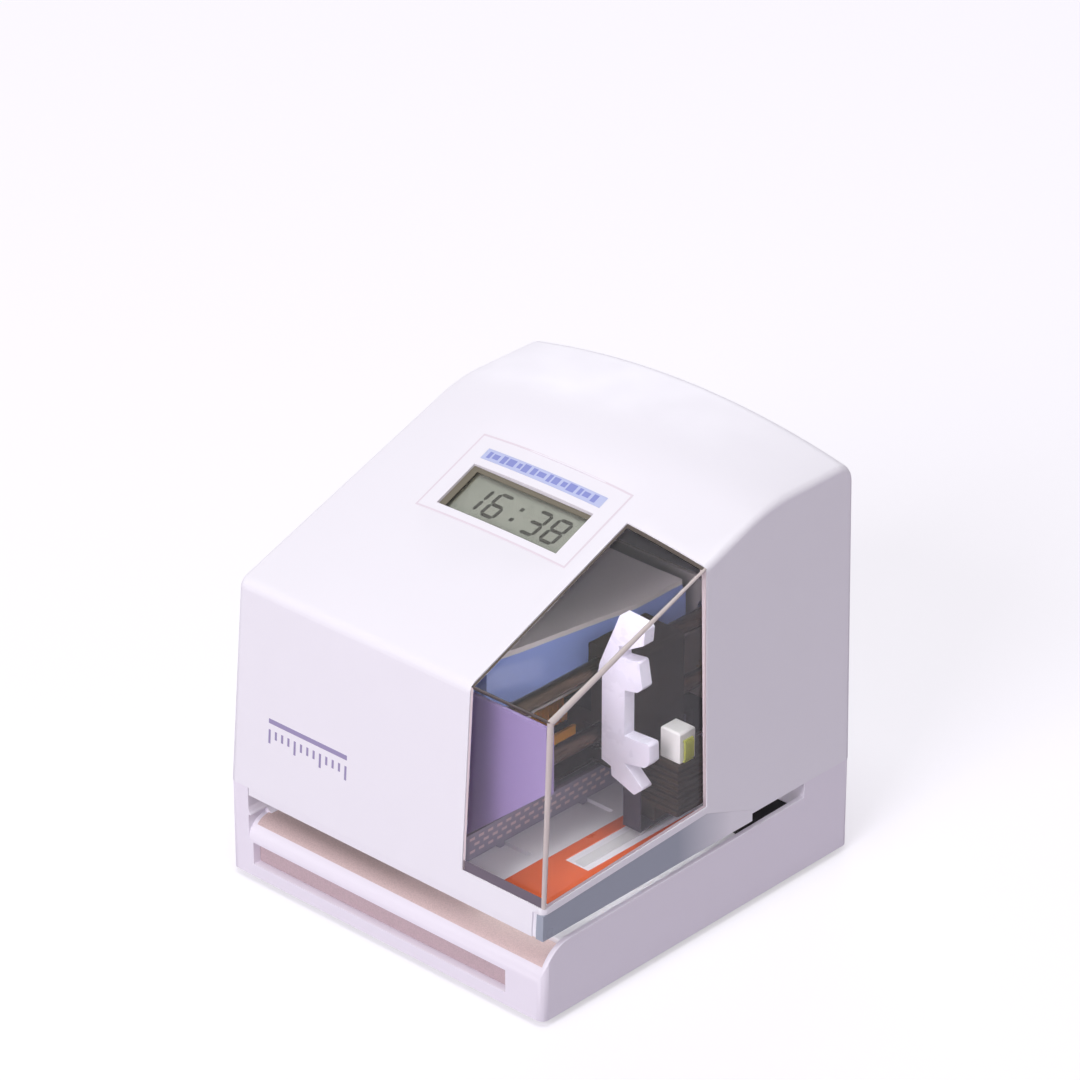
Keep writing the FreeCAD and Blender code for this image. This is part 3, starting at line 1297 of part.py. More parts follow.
def make_display(left, right, near, far):
    gap = s.run_gap
    skin = hood_body(0, s.seat_height, False)
    plate = slope_box((left - s.bezel_side + gap, right + s.bezel_side - gap),
                      (near - s.bezel_near + gap, far + s.bezel_far - gap), (-s.crown, s.crown))
    plate = plate.common(skin.cut(hood_body(s.bezel_sheet, s.seat_height - s.overrun, False)))
    hole = slope_box((left, right), (near, far), (-s.crown, s.crown))
    low = far + s.stripe_near
    groove = slope_box((left, right), (low, low + s.stripe_long), (-s.crown, s.crown))
    groove = groove.cut(hood_body(s.stripe_sheet, s.seat_height - s.overrun, False))
    piece(solid_from("DisplayBezel", plate.cut([hole, groove])), "display_bezel")
    fit = s.fit_gap
    stripe = slope_box((left + fit, right - fit), (low + fit, low + s.stripe_long - fit),
                       (-s.crown, s.crown))
    stripe = stripe.common(skin.cut(hood_body(s.stripe_sheet, s.seat_height - s.overrun, False)))
    piece(solid_from("DisplayStripe", stripe), "display_stripe")
    lens = slope_box((left + s.fit_gap, right - s.fit_gap), (near + s.fit_gap, far - s.fit_gap),
                     (s.lens_set, s.lens_set + s.lens_sheet))
    piece(solid_from("DisplayLens", lens), "display_lens")
    glass = slope_box((left + s.lcd_margin, right - s.lcd_margin), (near + s.fit_gap, far - s.fit_gap),
                      (s.lcd_drop, s.lcd_drop + s.lcd_thick))
    piece(solid_from("DisplayCell", glass), "display_cell")
    board = slope_box((left - s.lcd_board_margin, right + s.lcd_board_margin),
                      (near - 2 * s.boss_radius, far + 2 * s.boss_radius),
                      (s.lcd_drop + s.lcd_thick, s.lcd_drop + s.lcd_thick + s.lcd_board_sheet))
    piece(solid_from("DisplayBoard", board), "display_board")


# Lock in the back wall of the cover: barrel, nut, and a plug with the cam

def make_lock():
    inner = "inner_back"
    barrel = rod("LockBarrelRod", "Y", ("lock_x", "half_depth - lock_length", "lock_z"), "lock_radius",
                 "lock_length")
    rim = rod("LockRim", "Y", ("lock_x", "half_depth - lock_rim_sheet", "lock_z"), "lock_rim",
              "lock_rim_sheet")
    bore = rod("LockBore", "Y", ("lock_x", "half_depth - lock_length - overrun", "lock_z"),
               "plug_radius + fit_gap",
               "lock_length + 2 * overrun")
    piece(cut("LockBarrel", join("LockShell", barrel, rim), bore), "lock_barrel")
    turn = "nut_across / 2"
    nut = rod("LockNutDisc", "Y", ("lock_x", inner + " - nut_thick", "lock_z"), turn, "nut_thick")
    flats = block("LockNutFlats", ("lock_x - nut_across", "lock_x + nut_across"),
                  (inner + " - nut_thick", inner),
                  ("lock_z - nut_across * nut_flat_share", "lock_z + nut_across * nut_flat_share"))
    hole = rod("LockNutHole", "Y", ("lock_x", inner + " - nut_thick - overrun", "lock_z"),
               "lock_radius + fit_gap",
               "nut_thick + 2 * overrun")
    piece(cut("LockNut", overlap("LockNutFlat", nut, flats), hole), "lock_nut")
    low = "half_depth - lock_length - cam_sheet - run_gap"
    plug = rod("LockPlugRod", "Y", ("lock_x", low, "lock_z"), "plug_radius",
               "lock_length + cam_sheet + run_gap - fit_gap")
    slot = block("LockKeySlot", ("lock_x - key_slot / 2", "lock_x + key_slot / 2"),
                 ("half_depth - lock_length / 2", "half_depth + overrun"),
                 ("lock_z - key_slot_long / 2", "lock_z + key_slot_long / 2"))
    cam = block("LockCamBar", ("lock_x - cam_half", "lock_x + cam_half"), (low, low + " + cam_sheet"),
                ("lock_z - cam_long", "lock_z"))
    cam = soften("LockCamRound", cam, "overrun", lambda c, e: runs(e, "y") and c.z < s.lock_z - s.cam_half)
    piece(join("LockPlug", cut("LockPlugSlot", plug, slot), cam), "lock_plug")
    make_catch()


def make_catch():
    """Angle on the rear plate whose lip lies over the turned cam."""
    cam_y = "(half_depth - lock_length - cam_sheet - run_gap)"
    x0 = "lock_x + plug_radius + 2 * run_gap"
    stem = block("CatchStem", (x0, x0 + " + catch_half * 2"),
                 ("plate_back_y + sheet", "plate_back_y + 2 * sheet"),
                 ("lock_z - catch_drop", "lock_z + cam_half + 2 * sheet"))
    lip = block("CatchLip", (x0 + " + catch_half / 2", x0 + " + catch_half * 2"),
                ("plate_back_y + sheet", cam_y + " + cam_sheet"),
                ("lock_z + cam_half + run_gap", "lock_z + cam_half + run_gap + sheet"))
    piece(join("LockCatch", stem, lip), "lock_catch")


make_base()
make_bottom()
make_deck()
make_mark()
make_stop()
make_chassis()
make_shafts()
make_carriage()
make_guide()
make_head()
make_ribbon()
make_drive()
make_motor()
make_cassette()
make_board()
make_transformer()
make_inlet()
make_trigger()
make_cover()
make_lock()

doc.removeObject(probe.Name)
doc.recompute()
faults = [thing.Name for thing in doc.Objects if "Invalid" in thing.State or "Error" in thing.State]
for thing in pieces:
    if thing.Shape.isNull() or not thing.Shape.isValid():
        faults.append(thing.Label)
if faults:
    raise RuntimeError("faulty: " + ", ".join(faults))

os.makedirs("parts", exist_ok=True)
for thing in pieces:
    thing.Shape.exportStep(os.path.join("parts", thing.Label + ".step"))
print(len(pieces), "pieces")
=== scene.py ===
"""Finishes, fine pieces and studio of a desk date and time stamp machine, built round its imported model."""

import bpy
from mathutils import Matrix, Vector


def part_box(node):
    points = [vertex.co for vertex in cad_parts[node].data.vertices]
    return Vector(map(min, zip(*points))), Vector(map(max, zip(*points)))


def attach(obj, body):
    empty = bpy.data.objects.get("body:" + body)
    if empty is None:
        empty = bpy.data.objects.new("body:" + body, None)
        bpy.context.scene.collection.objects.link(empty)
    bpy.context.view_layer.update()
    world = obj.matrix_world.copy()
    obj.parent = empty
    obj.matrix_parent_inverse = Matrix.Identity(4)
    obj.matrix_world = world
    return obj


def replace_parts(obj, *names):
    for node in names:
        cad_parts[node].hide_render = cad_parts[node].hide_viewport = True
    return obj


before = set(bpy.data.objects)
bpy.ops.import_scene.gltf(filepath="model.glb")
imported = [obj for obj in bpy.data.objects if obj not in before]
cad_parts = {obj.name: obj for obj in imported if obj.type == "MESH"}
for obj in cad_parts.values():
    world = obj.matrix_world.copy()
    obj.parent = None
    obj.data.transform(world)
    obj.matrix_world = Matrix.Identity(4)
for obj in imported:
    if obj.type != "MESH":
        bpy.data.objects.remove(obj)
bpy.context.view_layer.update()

import math

import bmesh
import bpy
from bpy.props import FloatProperty, FloatVectorProperty, IntProperty, PointerProperty
from mathutils import Matrix, Vector
from mathutils.bvhtree import BVHTree

bl_info = {
    "name": "Date and time stamp machine",
    "version": (1, 0, 0),
    "blender": (4, 5, 0),
    "location": "3D View > Sidebar > Stamp",
    "description": "Finishes, fine pieces and studio of a desk date and time stamp machine",
    "category": "Object",
}

MM = 0.001
ACROSS = Vector((1, 0, 0))
FORWARD = Vector((0, -1, 0))
UP = Vector((0, 0, 1))
LEVEL = Matrix.Identity(4)
WELD = 0.002 * MM  # corners nearer than this are one
FLAT = 0.99  # a face looks a way when its normal has this share of it
SUNK = 0.02 * MM  # how deep a laid-on piece starts, so that no gap shows under it
PRINT = (-0.03 * MM, 0.05 * MM)  # a printed layer, from under a surface to over it


def linear(code):
    """The linear colour of an sRGB hex code."""
    shares = [int(code[place:place + 2], 16) / 255 for place in (0, 2, 4)]
    return tuple(c / 12.92 if c <= 0.04045 else ((c + 0.055) / 1.055) ** 2.4 for c in shares)


def colour_choice(name, code, description):
    return FloatVectorProperty(name=name, description=description, default=linear(code), subtype="COLOR",
                               min=0, max=1)


def length_choice(name, millimetres, description):
    return FloatProperty(name=name, description=description, default=millimetres * MM, min=0, precision=5,
                         unit="LENGTH")


class StampColours(bpy.types.PropertyGroup):
    """The colours of the machine's own finishes."""
    cover: colour_choice("Cover", "F4F2F8", "Plastic of the lift-off cover")
    base: colour_choice("Base", "F2EDF7", "Plastic of the base")
    stripe: colour_choice("Bar over the display", "C0C8EC", "Printed bar over the display")
    stripe_print: colour_choice("Bar print", "8790D2", "Plain dashes printed on the bar")
    front_print: colour_choice("Front print", "9C92B8", "Plain printed lines on the front")
    mark: colour_choice("Guide mark", "F06A34", "Printed mark where the card goes")
    deck: colour_choice("Deck", "F2F0F4", "Plate that the card slides on")
    cell: colour_choice("Display cell", "6E6F69", "Reflective back of the liquid crystal cell")
    segments: colour_choice("Display segments", "1E1B17", "Dark segments of the digits")
    belt: colour_choice("Drive belt", "FFB22C", "Cast polyurethane belt")
    cassette: colour_choice("Ribbon cassette", "A6BCFF", "Body of the ribbon cassette")
    cassette_lid: colour_choice("Cassette lid", "F2EAE6", "Lid of the ribbon cassette")
    front_plate: colour_choice("Front side plate", "8C7AA4", "Violet passivated sheet steel")
    # painted shade: the sill strip's grey stands in for the shade under the window
    sill_shade: colour_choice("Sill strip", "A4ABB8", "Painted shade on the strip along the side, under the window")
    # painted shade: the two felt colours stand in for the shade under the cover's overhang and in the finger groove
    edge_felt: colour_choice("Edge felt, painted shade", "E0C8C4", "Felt as painted shade on the front edge of the base")
    groove_felt: colour_choice("Groove felt, painted shade", "C6B0B4", "Felt as painted shade in the finger groove")
    stop: colour_choice("Paper stop", "A7A0B4", "Slotted fence along the throat")
    lead: colour_choice("Head lead", "A9AC3C", "Insulation of the wires to the print head")
    knob: colour_choice("Ribbon knob", "3C55A8", "Knob that winds the ribbon")


class StampSizes(bpy.types.PropertyGroup):
    """Sizes of the pieces that are modelled here."""
    edge_round: length_choice("Edge round", 0.25, "Rounding of sharp edges")
    digit_high: length_choice("Digit height", 12.0, "Height of a digit")
    digit_wide: length_choice("Digit width", 7.0, "Width of a digit")
    digit_pitch: length_choice("Digit pitch", 9.2, "From one digit to the next")
    segment: length_choice("Segment width", 1.45, "Width of a segment of a digit")
    # width of the painted recess shade round the display
    recess_shade_band: length_choice("Recess shade width", 2.7, "Width of the painted recess shade at the display's left")
    edge_highlight_width: length_choice("Window edge highlight", 1.15, "Half the width of the painted highlight on a polished edge of the window")
    # the felt sheets carry painted shade
    felt: length_choice("Felt", 0.3, "Thickness of the felt on the base")
    peg: length_choice("Peg", 1.08, "Height of the pegs in the paper stop's slots")
    pin_pitch: length_choice("Pin pitch", 1.27, "From one pin of the controller chip to the next")
    belt_pitch: length_choice("Belt tooth pitch", 2.5, "From one tooth of the drive belt to the next")
    wires: IntProperty(name="Wires", description="Wires in the head lead", default=5, min=1)


def colours():
    return bpy.context.scene.stamp_colours


def sizes():
    return bpy.context.scene.stamp_sizes


# Shader parts


def add(tree, kind, inputs=None, settings=None, out=0):
    """Add a shader node, set its fields, fill its inputs with values or links, and give one of its outputs."""
    made = tree.nodes.new("ShaderNode" + kind)
    for field, value in (settings or {}).items():
        setattr(made, field, value)
    for key, value in (inputs or {}).items():
        if isinstance(value, bpy.types.NodeSocket):
            tree.links.new(value, made.inputs[key])
        else:
            made.inputs[key].default_value = value
    return made.outputs[out] if made.outputs else None


def start(name):
    """An empty material by that name, its tree, and the place in the object that patterns follow."""
    material = bpy.data.materials.new(name)
    material.use_nodes = True
    tree = material.node_tree
    tree.nodes.clear()
    return material, tree, add(tree, "TexCoord", out="Object")


def per(millimetres):
    """The scale of a noise whose spots are about that far apart."""
    return 1 / (millimetres * MM)


def shade(colour, share):
    return tuple(min(1, part * share) for part in colour) + (1,)


def clouded(tree, place, colour, pitch, depth):
    """A colour that drifts a little over the surface, as cooling or handling leaves it."""
    cloud = add(tree, "TexNoise", {"Vector": place, "Scale": per(pitch), "Detail": 4.0})
    return add(tree, "MixRGB", {0: cloud, 1: shade(colour, 1 - depth), 2: shade(colour, 1 + depth)})


def grained(tree, place, pitch, height):
    """A normal from a fine even grain."""
    grain = add(tree, "TexNoise", {"Vector": place, "Scale": per(pitch), "Detail": 2.0})
    return raised(tree, grain, 1.0, height)


def ranged(tree, place, pitch, low, high):
    """A roughness that wanders between two values."""
    cloud = add(tree, "TexNoise", {"Vector": place, "Scale": per(pitch), "Detail": 3.0})
    return add(tree, "MapRange", {0: cloud, 1: 0.3, 2: 0.7, 3: low, 4: high})


def waves(tree, place, axis, pitch):
    """Smooth waves along an axis, from one crest to the next by the pitch in millimetres."""
    return add(tree, "TexWave", {"Vector": place, "Scale": per(pitch) * math.pi / 10}, {"bands_direction": axis}, 1)


def raised(tree, pattern, strength, height):
    """A normal from a pattern, that stands up by a height in millimetres."""
    return add(tree, "Bump", {"Strength": strength, "Distance": height * MM, "Height": pattern})


def close(material, tree, shader):
    add(tree, "OutputMaterial", {"Surface": shader})
    return material


def plain(name, colour, roughness, pitch, relief, drift, metallic=0.0, ior=1.5, coat=0.0, shine=0.5):
    """A finish of one colour with its grain, its drift of colour and its drift of gloss."""
    material, tree, place = start(name)
    soft = ranged(tree, place, pitch * 40, roughness * 0.9, roughness * 1.12)
    return close(material, tree, add(tree, "BsdfPrincipled", {
        "Base Color": clouded(tree, place, colour, pitch * 60, drift), "Roughness": soft,
        "Metallic": metallic, "IOR": ior, "Specular IOR Level": shine, "Coat Weight": coat, "Coat Roughness": 0.12,
        "Normal": grained(tree, place, pitch, relief)}))


# Plastics


def cover_plastic():
    """ABS from a spark-eroded mould: an even satin skin, its fine grain seen only as a soft highlight."""
    return plain("ABS, spark-eroded, cover white", colours().cover, 0.42, 0.45, 0.012, 0.006, ior=1.54)


def base_plastic():
    """The same ABS from a coarser mould, so the base looks a little duller than the cover."""
    return plain("ABS, spark-eroded, base white", colours().base, 0.5, 0.5, 0.016, 0.008, ior=1.54)


def deck_plastic():
    """Acetal sheet rubbed smooth by cards: white, with a low wide gloss along the throat."""
    return plain("Acetal sheet, deck white", colours().deck, 0.3, 0.6, 0.006, 0.01, ior=1.48)


def acetal():
    """Unpainted moulded acetal: bright waxy white with a soft broad highlight."""
    material, tree, place = start("Acetal, moulded natural white")
    return close(material, tree, add(tree, "BsdfPrincipled", {
        "Base Color": clouded(tree, place, linear("EFEAF5"), 12, 0.012), "Roughness": ranged(tree, place, 6, 0.24, 0.34),
        "IOR": 1.48, "Subsurface Weight": 0.12, "Subsurface Radius": (0.0012, 0.0012, 0.0012),
        "Normal": grained(tree, place, 0.9, 0.01)}))


def black_nylon():
    """Glass-filled nylon: brown-black, with a faint bloom from fibres near the skin."""
    return plain("Nylon, glass-filled, black", linear("281C13"), 0.5, 0.35, 0.02, 0.25, ior=1.53, shine=0.2)


def cassette_plastic():
    """Injection-moulded polystyrene, pale blue and polished: clear highlights along the wall."""
    return plain("Polystyrene, pale blue", colours().cassette, 0.16, 2.5, 0.008, 0.03, ior=1.59, coat=0.3)


def lid_plastic():
    """Polystyrene from a sanded mould: warm white and dull, an even grey in the cover's shade."""
    return plain("Polystyrene, warm white", colours().cassette_lid, 0.42, 0.4, 0.014, 0.03, ior=1.59)


def knob_plastic():
    """Moulded ABS that fingers have polished on its flutes."""
    return plain("ABS, moulded, knob blue", colours().knob, 0.3, 0.5, 0.01, 0.04, ior=1.54)


def key_plastic():
    """Moulded ABS of a small key cap: even mid grey, satin."""
    return plain("ABS, moulded, key grey", linear("676C76"), 0.4, 0.4, 0.01, 0.03, ior=1.54)


def stop_plastic():
    """Moulded ABS of the slotted fence: violet grey, a little glossy on its top edge."""
    return plain("ABS, moulded, fence grey", colours().stop, 0.36, 0.5, 0.01, 0.03, ior=1.54)


def rail_painted_shade():
    """Extruded acrylic strip whose grey is painted shade: it stands in for the shade under the window and fades into
    the cover's white towards the back end.
    """
    material, tree, place = start("Acrylic, grey strip, fading")
    along = add(tree, "SeparateXYZ", {0: place}, out="Y")
    shade_fade = add(tree, "MapRange", {0: along, 1: -12 * MM, 2: 16 * MM})
    # painted shade: the grey, fading out towards the back
    grey = clouded(tree, place, colours().sill_shade, 30, 0.03)
    tone = add(tree, "MixRGB", {0: shade_fade, 1: grey, 2: colours().cover[:] + (1,)})
    return close(material, tree, add(tree, "BsdfPrincipled", {
        "Base Color": tone, "Roughness": ranged(tree, place, 20, 0.26, 0.34), "IOR": 1.49,
        "Normal": grained(tree, place, 3, 0.004)}))


def connector_plastic():
    """Moulded PBT of a wire housing: cream white, slightly dull."""
    return plain("PBT, moulded, connector white", linear("EEECE6"), 0.38, 0.3, 0.008, 0.02, ior=1.55)


def epoxy():
    """Epoxy moulding compound of a chip: near black, matt and slightly sandy."""
    return plain("Epoxy moulding compound", linear("1B1B1E"), 0.55, 0.2, 0.012, 0.15, ior=1.55)


def shrink_sleeve(name, code):
    """PVC sleeve shrunk on: glossy and a little uneven."""
    return plain(name, linear(code), 0.2, 1.5, 0.006, 0.05, ior=1.53, coat=0.2)


def wire_sleeve():
    """Extruded PVC insulation: yellow-green, half gloss."""
    return plain("PVC wire insulation, yellow-green", colours().lead, 0.35, 0.8, 0.004, 0.05, ior=1.53)


def clear_pane(name, tint):
    """Clear moulded sheet, coated against glare: it mirrors little and lets the lamps through."""
    material, tree, place = start(name)
    glass = add(tree, "BsdfPrincipled", {
        "Base Color": tint + (1,), "Roughness": 0.015, "IOR": 1.49, "Specular Tint": (0.4, 0.4, 0.4, 1),
        "Transmission Weight": 1.0, "Normal": grained(tree, place, 14, 0.004)})
    shadow = add(tree, "LightPath", out="Is Shadow Ray")
    through = add(tree, "BsdfTransparent", {"Color": tint + (1,)})
    return close(material, tree, add(tree, "MixShader", {0: shadow, 1: glass, 2: through}))


def edge_highlight():
    """Painted highlight on a flame-polished acrylic edge: a pale waxy colour that stands in for the light that leaves
    it from inside the sheet.
    """
    material, tree, place = start("Acrylic, flame-polished edge")
    return close(material, tree, add(tree, "BsdfPrincipled", {
        "Base Color": clouded(tree, place, linear("E6DAD6"), 6, 0.05), "Roughness": ranged(tree, place, 4, 0.08, 0.2),
        "IOR": 1.49, "Transmission Weight": 0.25, "Coat Weight": 0.4, "Coat Roughness": 0.05}))


# Rubbers, ribbon and film


def belt_rubber():
    """Cast polyurethane: amber, slightly see-through, so its edges glow."""
    material, tree, place = start("Polyurethane, cast, amber")
    return close(material, tree, add(tree, "BsdfPrincipled", {
        "Base Color": clouded(tree, place, colours().belt, 5, 0.08), "Roughness": ranged(tree, place, 3, 0.28, 0.42),
        "IOR": 1.5, "Subsurface Weight": 0.2, "Subsurface Radius": (0.002, 0.001, 0.0004),
        "Normal": grained(tree, place, 0.7, 0.02)}))


def platen_rubber():
    """Ground nitrile rubber: pale grey with a dry chalky skin."""
    return plain("Nitrile rubber, ground, pale", linear("DAD8D8"), 0.7, 0.3, 0.02, 0.03, ior=1.52)


def shade_felt_strip(name, colour):
    """Pressed wool felt whose brown colour is painted shade: fibres in clumps drawn 0.5 mm apart, and no gloss at
    all.
    """
    material, tree, place = start(name)
    clumps = add(tree, "TexNoise", {"Vector": place, "Scale": per(0.5), "Detail": 5.0})
    tone = add(tree, "MixRGB", {0: clumps, 1: shade(colour, 0.75), 2: shade(colour, 1.22)})
    return close(material, tree, add(tree, "BsdfPrincipled", {
        "Base Color": tone, "Roughness": 0.9, "Sheen Weight": 0.25, "Sheen Roughness": 0.5,
        "Normal": raised(tree, clumps, 0.8, 0.1)}))


def foot_rubber():
    """Moulded rubber: black, dusty and dull."""
    return plain("Rubber, moulded, black", linear("1E1D1F"), 0.75, 0.4, 0.03, 0.12, ior=1.52)


def ribbon_cloth():
    """Inked nylon ribbon: dull blue-black, with a weave drawn 2.51 mm apart, coarser than life."""
    material, tree, place = start("Nylon ribbon, inked")
    warp, weft = [waves(tree, place, axis, 2.51) for axis in "XY"]
    cloth = add(tree, "Math", {0: warp, 1: weft}, {"operation": "MULTIPLY"})
    return close(material, tree, add(tree, "BsdfPrincipled", {
        "Base Color": clouded(tree, place, linear("20142C"), 4, 0.3), "Roughness": 0.62, "IOR": 1.53,
        "Sheen Weight": 0.3, "Normal": raised(tree, cloth, 0.6, 0.05)}))


def print_film(name, colour, roughness=0.3):
    """Screen print or lacquer: an even layer of colour under a thin clear skin."""
    return plain(name, colour, roughness, 0.3, 0.004, 0.03, ior=1.6, coat=0.25)


# Metals


def metal_sheet(name, colour, roughness, grain, relief):
    """Rolled sheet: fine lines along one way, and a finish that is never quite even."""
    material, tree, place = start(name)
    stretched = add(tree, "Mapping", {"Vector": place, "Scale": (1.0, 0.04, 1.0)})
    lines = add(tree, "TexNoise", {"Vector": stretched, "Scale": per(grain), "Detail": 3.0})
    rough = add(tree, "MapRange", {0: lines, 1: 0.3, 2: 0.7, 3: roughness * 0.8, 4: roughness * 1.25})
    return close(material, tree, add(tree, "BsdfPrincipled", {
        "Base Color": clouded(tree, place, colour, 18, 0.05), "Metallic": 1.0, "Roughness": rough,
        "Normal": raised(tree, lines, 1.0, relief)}))


def violet_plate():
    """Sheet steel with a violet passivation under lacquer: a soft violet that stays even in shade."""
    return plain("Sheet steel, violet passivated", colours().front_plate, 0.38, 2.0, 0.004, 0.06, metallic=0.15)


def black_plate():
    """Sheet steel, black oxide: dull brown-black that hardly mirrors."""
    return plain("Sheet steel, black oxide", linear("30251B"), 0.5, 0.5, 0.015, 0.15, shine=0.15)


def zinc_plate():
    """Zinc-plated sheet steel gone dull: warm grey with hardly any shine."""
    return plain("Sheet steel, zinc plated, dull", linear("B5ACA8"), 0.5, 1.2, 0.006, 0.06, metallic=0.35)


def ground_shaft():
    """Silver steel, blackened and ground: dark brown with a soft streak of light along it."""
    return metal_sheet("Silver steel, blackened and ground", linear("5A4A3E"), 0.3, 0.3, 0.004)


def screw_steel():
    """Plated screws: pale grey metal with a soft bright spot on each head."""
    return metal_sheet("Screw steel, zinc plated", linear("BFC0C4"), 0.28, 0.3, 0.006)


def motor_can():
    """Drawn and plated can: warm pale metal with long soft streaks."""
    return metal_sheet("Drawn steel can, nickel plated", linear("BDBBB8"), 0.25, 0.8, 0.006)


def turned_brass():
    """Turned brass: warm yellow with bright tool lines."""
    return metal_sheet("Brass, turned", linear("D9B45E"), 0.22, 0.25, 0.008)


def tinned_copper():
    """Tinned wire and solder ends: pale silver specks on the board."""
    return metal_sheet("Copper, tinned", linear("C9CACB"), 0.3, 0.2, 0.004)


def lock_chrome():
    """Zinc die casting, chromium plated: a clean mirror with faint polishing haze."""
    return metal_sheet("Die casting, chrome plated", linear("DFE0E2"), 0.09, 1.5, 0.002)


def head_aluminium():
    """Black anodised aluminium: dark warm brown, half matt, so the fin edges catch the light."""
    return plain("Aluminium, black anodised", linear("2F2115"), 0.5, 0.3, 0.01, 0.1, shine=0.12)


def core_steel():
    """Stacked silicon steel sheets: dark varnish with a faint ridge at every 3.14 mm of the stack."""
    material, tree, place = start("Silicon steel, stacked and varnished")
    stack = waves(tree, place, "X", 3.14)
    return close(material, tree, add(tree, "BsdfPrincipled", {
        "Base Color": clouded(tree, place, linear("4B4B50"), 3, 0.2), "Metallic": 0.6, "Roughness": 0.45,
        "Normal": raised(tree, stack, 0.7, 0.08)}))


def coil_winding():
    """Enamelled copper wire under amber tape, which follows its layers in soft waves 3.14 mm apart."""
    material, tree, place = start("Enamelled copper winding under tape")
    layers = waves(tree, place, "Z", 3.14)
    return close(material, tree, add(tree, "BsdfPrincipled", {
        "Base Color": clouded(tree, place, linear("B4652B"), 4, 0.18), "Metallic": 0.35, "Roughness": 0.3,
        "Coat Weight": 0.4, "Coat Roughness": 0.15, "Normal": raised(tree, layers, 0.6, 0.12)}))


# Boards and display


def solder_mask():
    """Glass-epoxy board under green solder mask: tracks show as paler lines, drawn 2 mm apart."""
    material, tree, place = start("Glass-epoxy board, green mask")
    pitch = 2.0
    tracks = add(tree, "TexBrick", {
        "Vector": place, "Scale": per(pitch) / 4, "Mortar Size": 0.035, "Color1": linear("0F4A2A") + (1,),
        "Color2": linear("0D4226") + (1,), "Mortar": linear("1E6B3E") + (1,)}, {"offset": 0.5})
    return close(material, tree, add(tree, "BsdfPrincipled", {
        "Base Color": tracks, "Roughness": ranged(tree, place, 8, 0.25, 0.4), "IOR": 1.55,
        "Coat Weight": 0.3, "Coat Roughness": 0.1, "Normal": grained(tree, place, 0.5, 0.01)}))


def crystal_cell():
    """Reflective liquid crystal cell: mid grey with a touch of green, satin under its glass."""
    material, tree, place = start("Liquid crystal cell, reflective")
    return close(material, tree, add(tree, "BsdfPrincipled", {
        "Base Color": clouded(tree, place, colours().cell, 9, 0.05), "Roughness": ranged(tree, place, 5, 0.35, 0.5),
        "IOR": 1.52, "Coat Weight": 0.25, "Coat Roughness": 0.08,
        "Normal": grained(tree, place, 0.25, 0.006)}))


def segment_ink():
    """Crystal turned dark: a thin shade that lies just under the glass."""
    return plain("Liquid crystal, turned dark", colours().segments, 0.4, 0.3, 0.002, 0.05, ior=1.52)


# Mesh helpers


def new_piece(name, body, material, build):
    """A mesh piece in metres that rides on a body. build fills an empty bmesh."""
    shape = bmesh.new()
    build(shape)
    bmesh.ops.recalc_face_normals(shape, faces=shape.faces)
    mesh = bpy.data.meshes.new(name)
    shape.to_mesh(mesh)
    shape.free()
    mesh.materials.append(material)
    piece = bpy.data.objects.new(name, mesh)
    bpy.context.scene.collection.objects.link(piece)
    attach(piece, body)
    return piece


def skin(shape, rings):
    """A closed skin: a wall from each ring of points to the next, and a cap on the first and the last."""
    rows = [[shape.verts.new(spot) for spot in ring] for ring in rings]
    for row, after in zip(rows, rows[1:]):
        for k in range(len(row)):
            near = (k + 1) % len(row)
            shape.faces.new((row[k], row[near], after[near], after[k]))
    shape.faces.new(rows[-1])
    shape.faces.new(rows[0][::-1])


def prism(shape, seat, outline, low, high):
    """A flat-sided block: an outline in the seat's own X and Y, from one height to another over it."""
    skin(shape, [[seat @ Vector((x, y, z)) for x, y in outline] for z in (low, high)])


def bar(shape, seat, x, y, z):
    prism(shape, seat, [(x[0], y[0]), (x[1], y[0]), (x[1], y[1]), (x[0], y[1])], *z)


def tube(shape, path, radii, sides=10):
    """A round tube along a path of points, with a radius at each."""
    turns = [2 * math.pi * k / sides for k in range(sides)]
    rings = []
    for n, (point, radius) in enumerate(zip(path, radii)):
        before, after = path[max(n - 1, 0)], path[min(n + 1, len(path) - 1)]
        along = (after - before).normalized()
        side = along.cross(UP if abs(along.z) < 0.9 else ACROSS).normalized()
        over = side.cross(along)
        rings.append([point + (side * math.cos(turn) + over * math.sin(turn)) * radius for turn in turns])
    skin(shape, rings)


def band(shape, first, second, way, low, high):
    """A thin strip between two lines of points, from one height to another along a way."""
    skin(shape, [(a + way * low, b + way * low, b + way * high, a + way * high) for a, b in zip(first, second)])


def cad_mesh(node):
    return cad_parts[node].data


def corners(mesh, faces):
    return [mesh.vertices[v].co for face in faces for v in face.vertices]


def span(points):
    """The low and the high corner of the box round some points."""
    return [Vector([pick(point[k] for point in points) for k in range(3)]) for pick in (min, max)]


def seat_on(origin, normal):
    """A place on a surface: its Z leaves the surface and its X runs across the machine."""
    z = normal.normalized()
    x = (ACROSS - z * ACROSS.dot(z)).normalized()
    return Matrix.Translation(origin) @ Matrix((x, z.cross(x), z)).transposed().to_4x4()


def flat_seat(node, way):
    """The seat at the middle of a CAD node's largest flat face that looks a way, and half that face's size."""
    mesh = cad_mesh(node)
    levels = {}
    for face in mesh.polygons:
        if face.normal.dot(way) > 0.5:
            key = (round(face.normal.dot(way), 2), round(face.center.dot(face.normal) / (0.2 * MM)))
            levels.setdefault(key, []).append(face)
    best = max(levels.values(), key=lambda faces: sum(face.area for face in faces))
    seat = seat_on(Vector(), sum((face.normal * face.area for face in best), Vector()))
    low, high = span([seat.inverted() @ corner for corner in corners(mesh, best)])
    return seat @ Matrix.Translation((low + high) / 2), (high - low) / 2


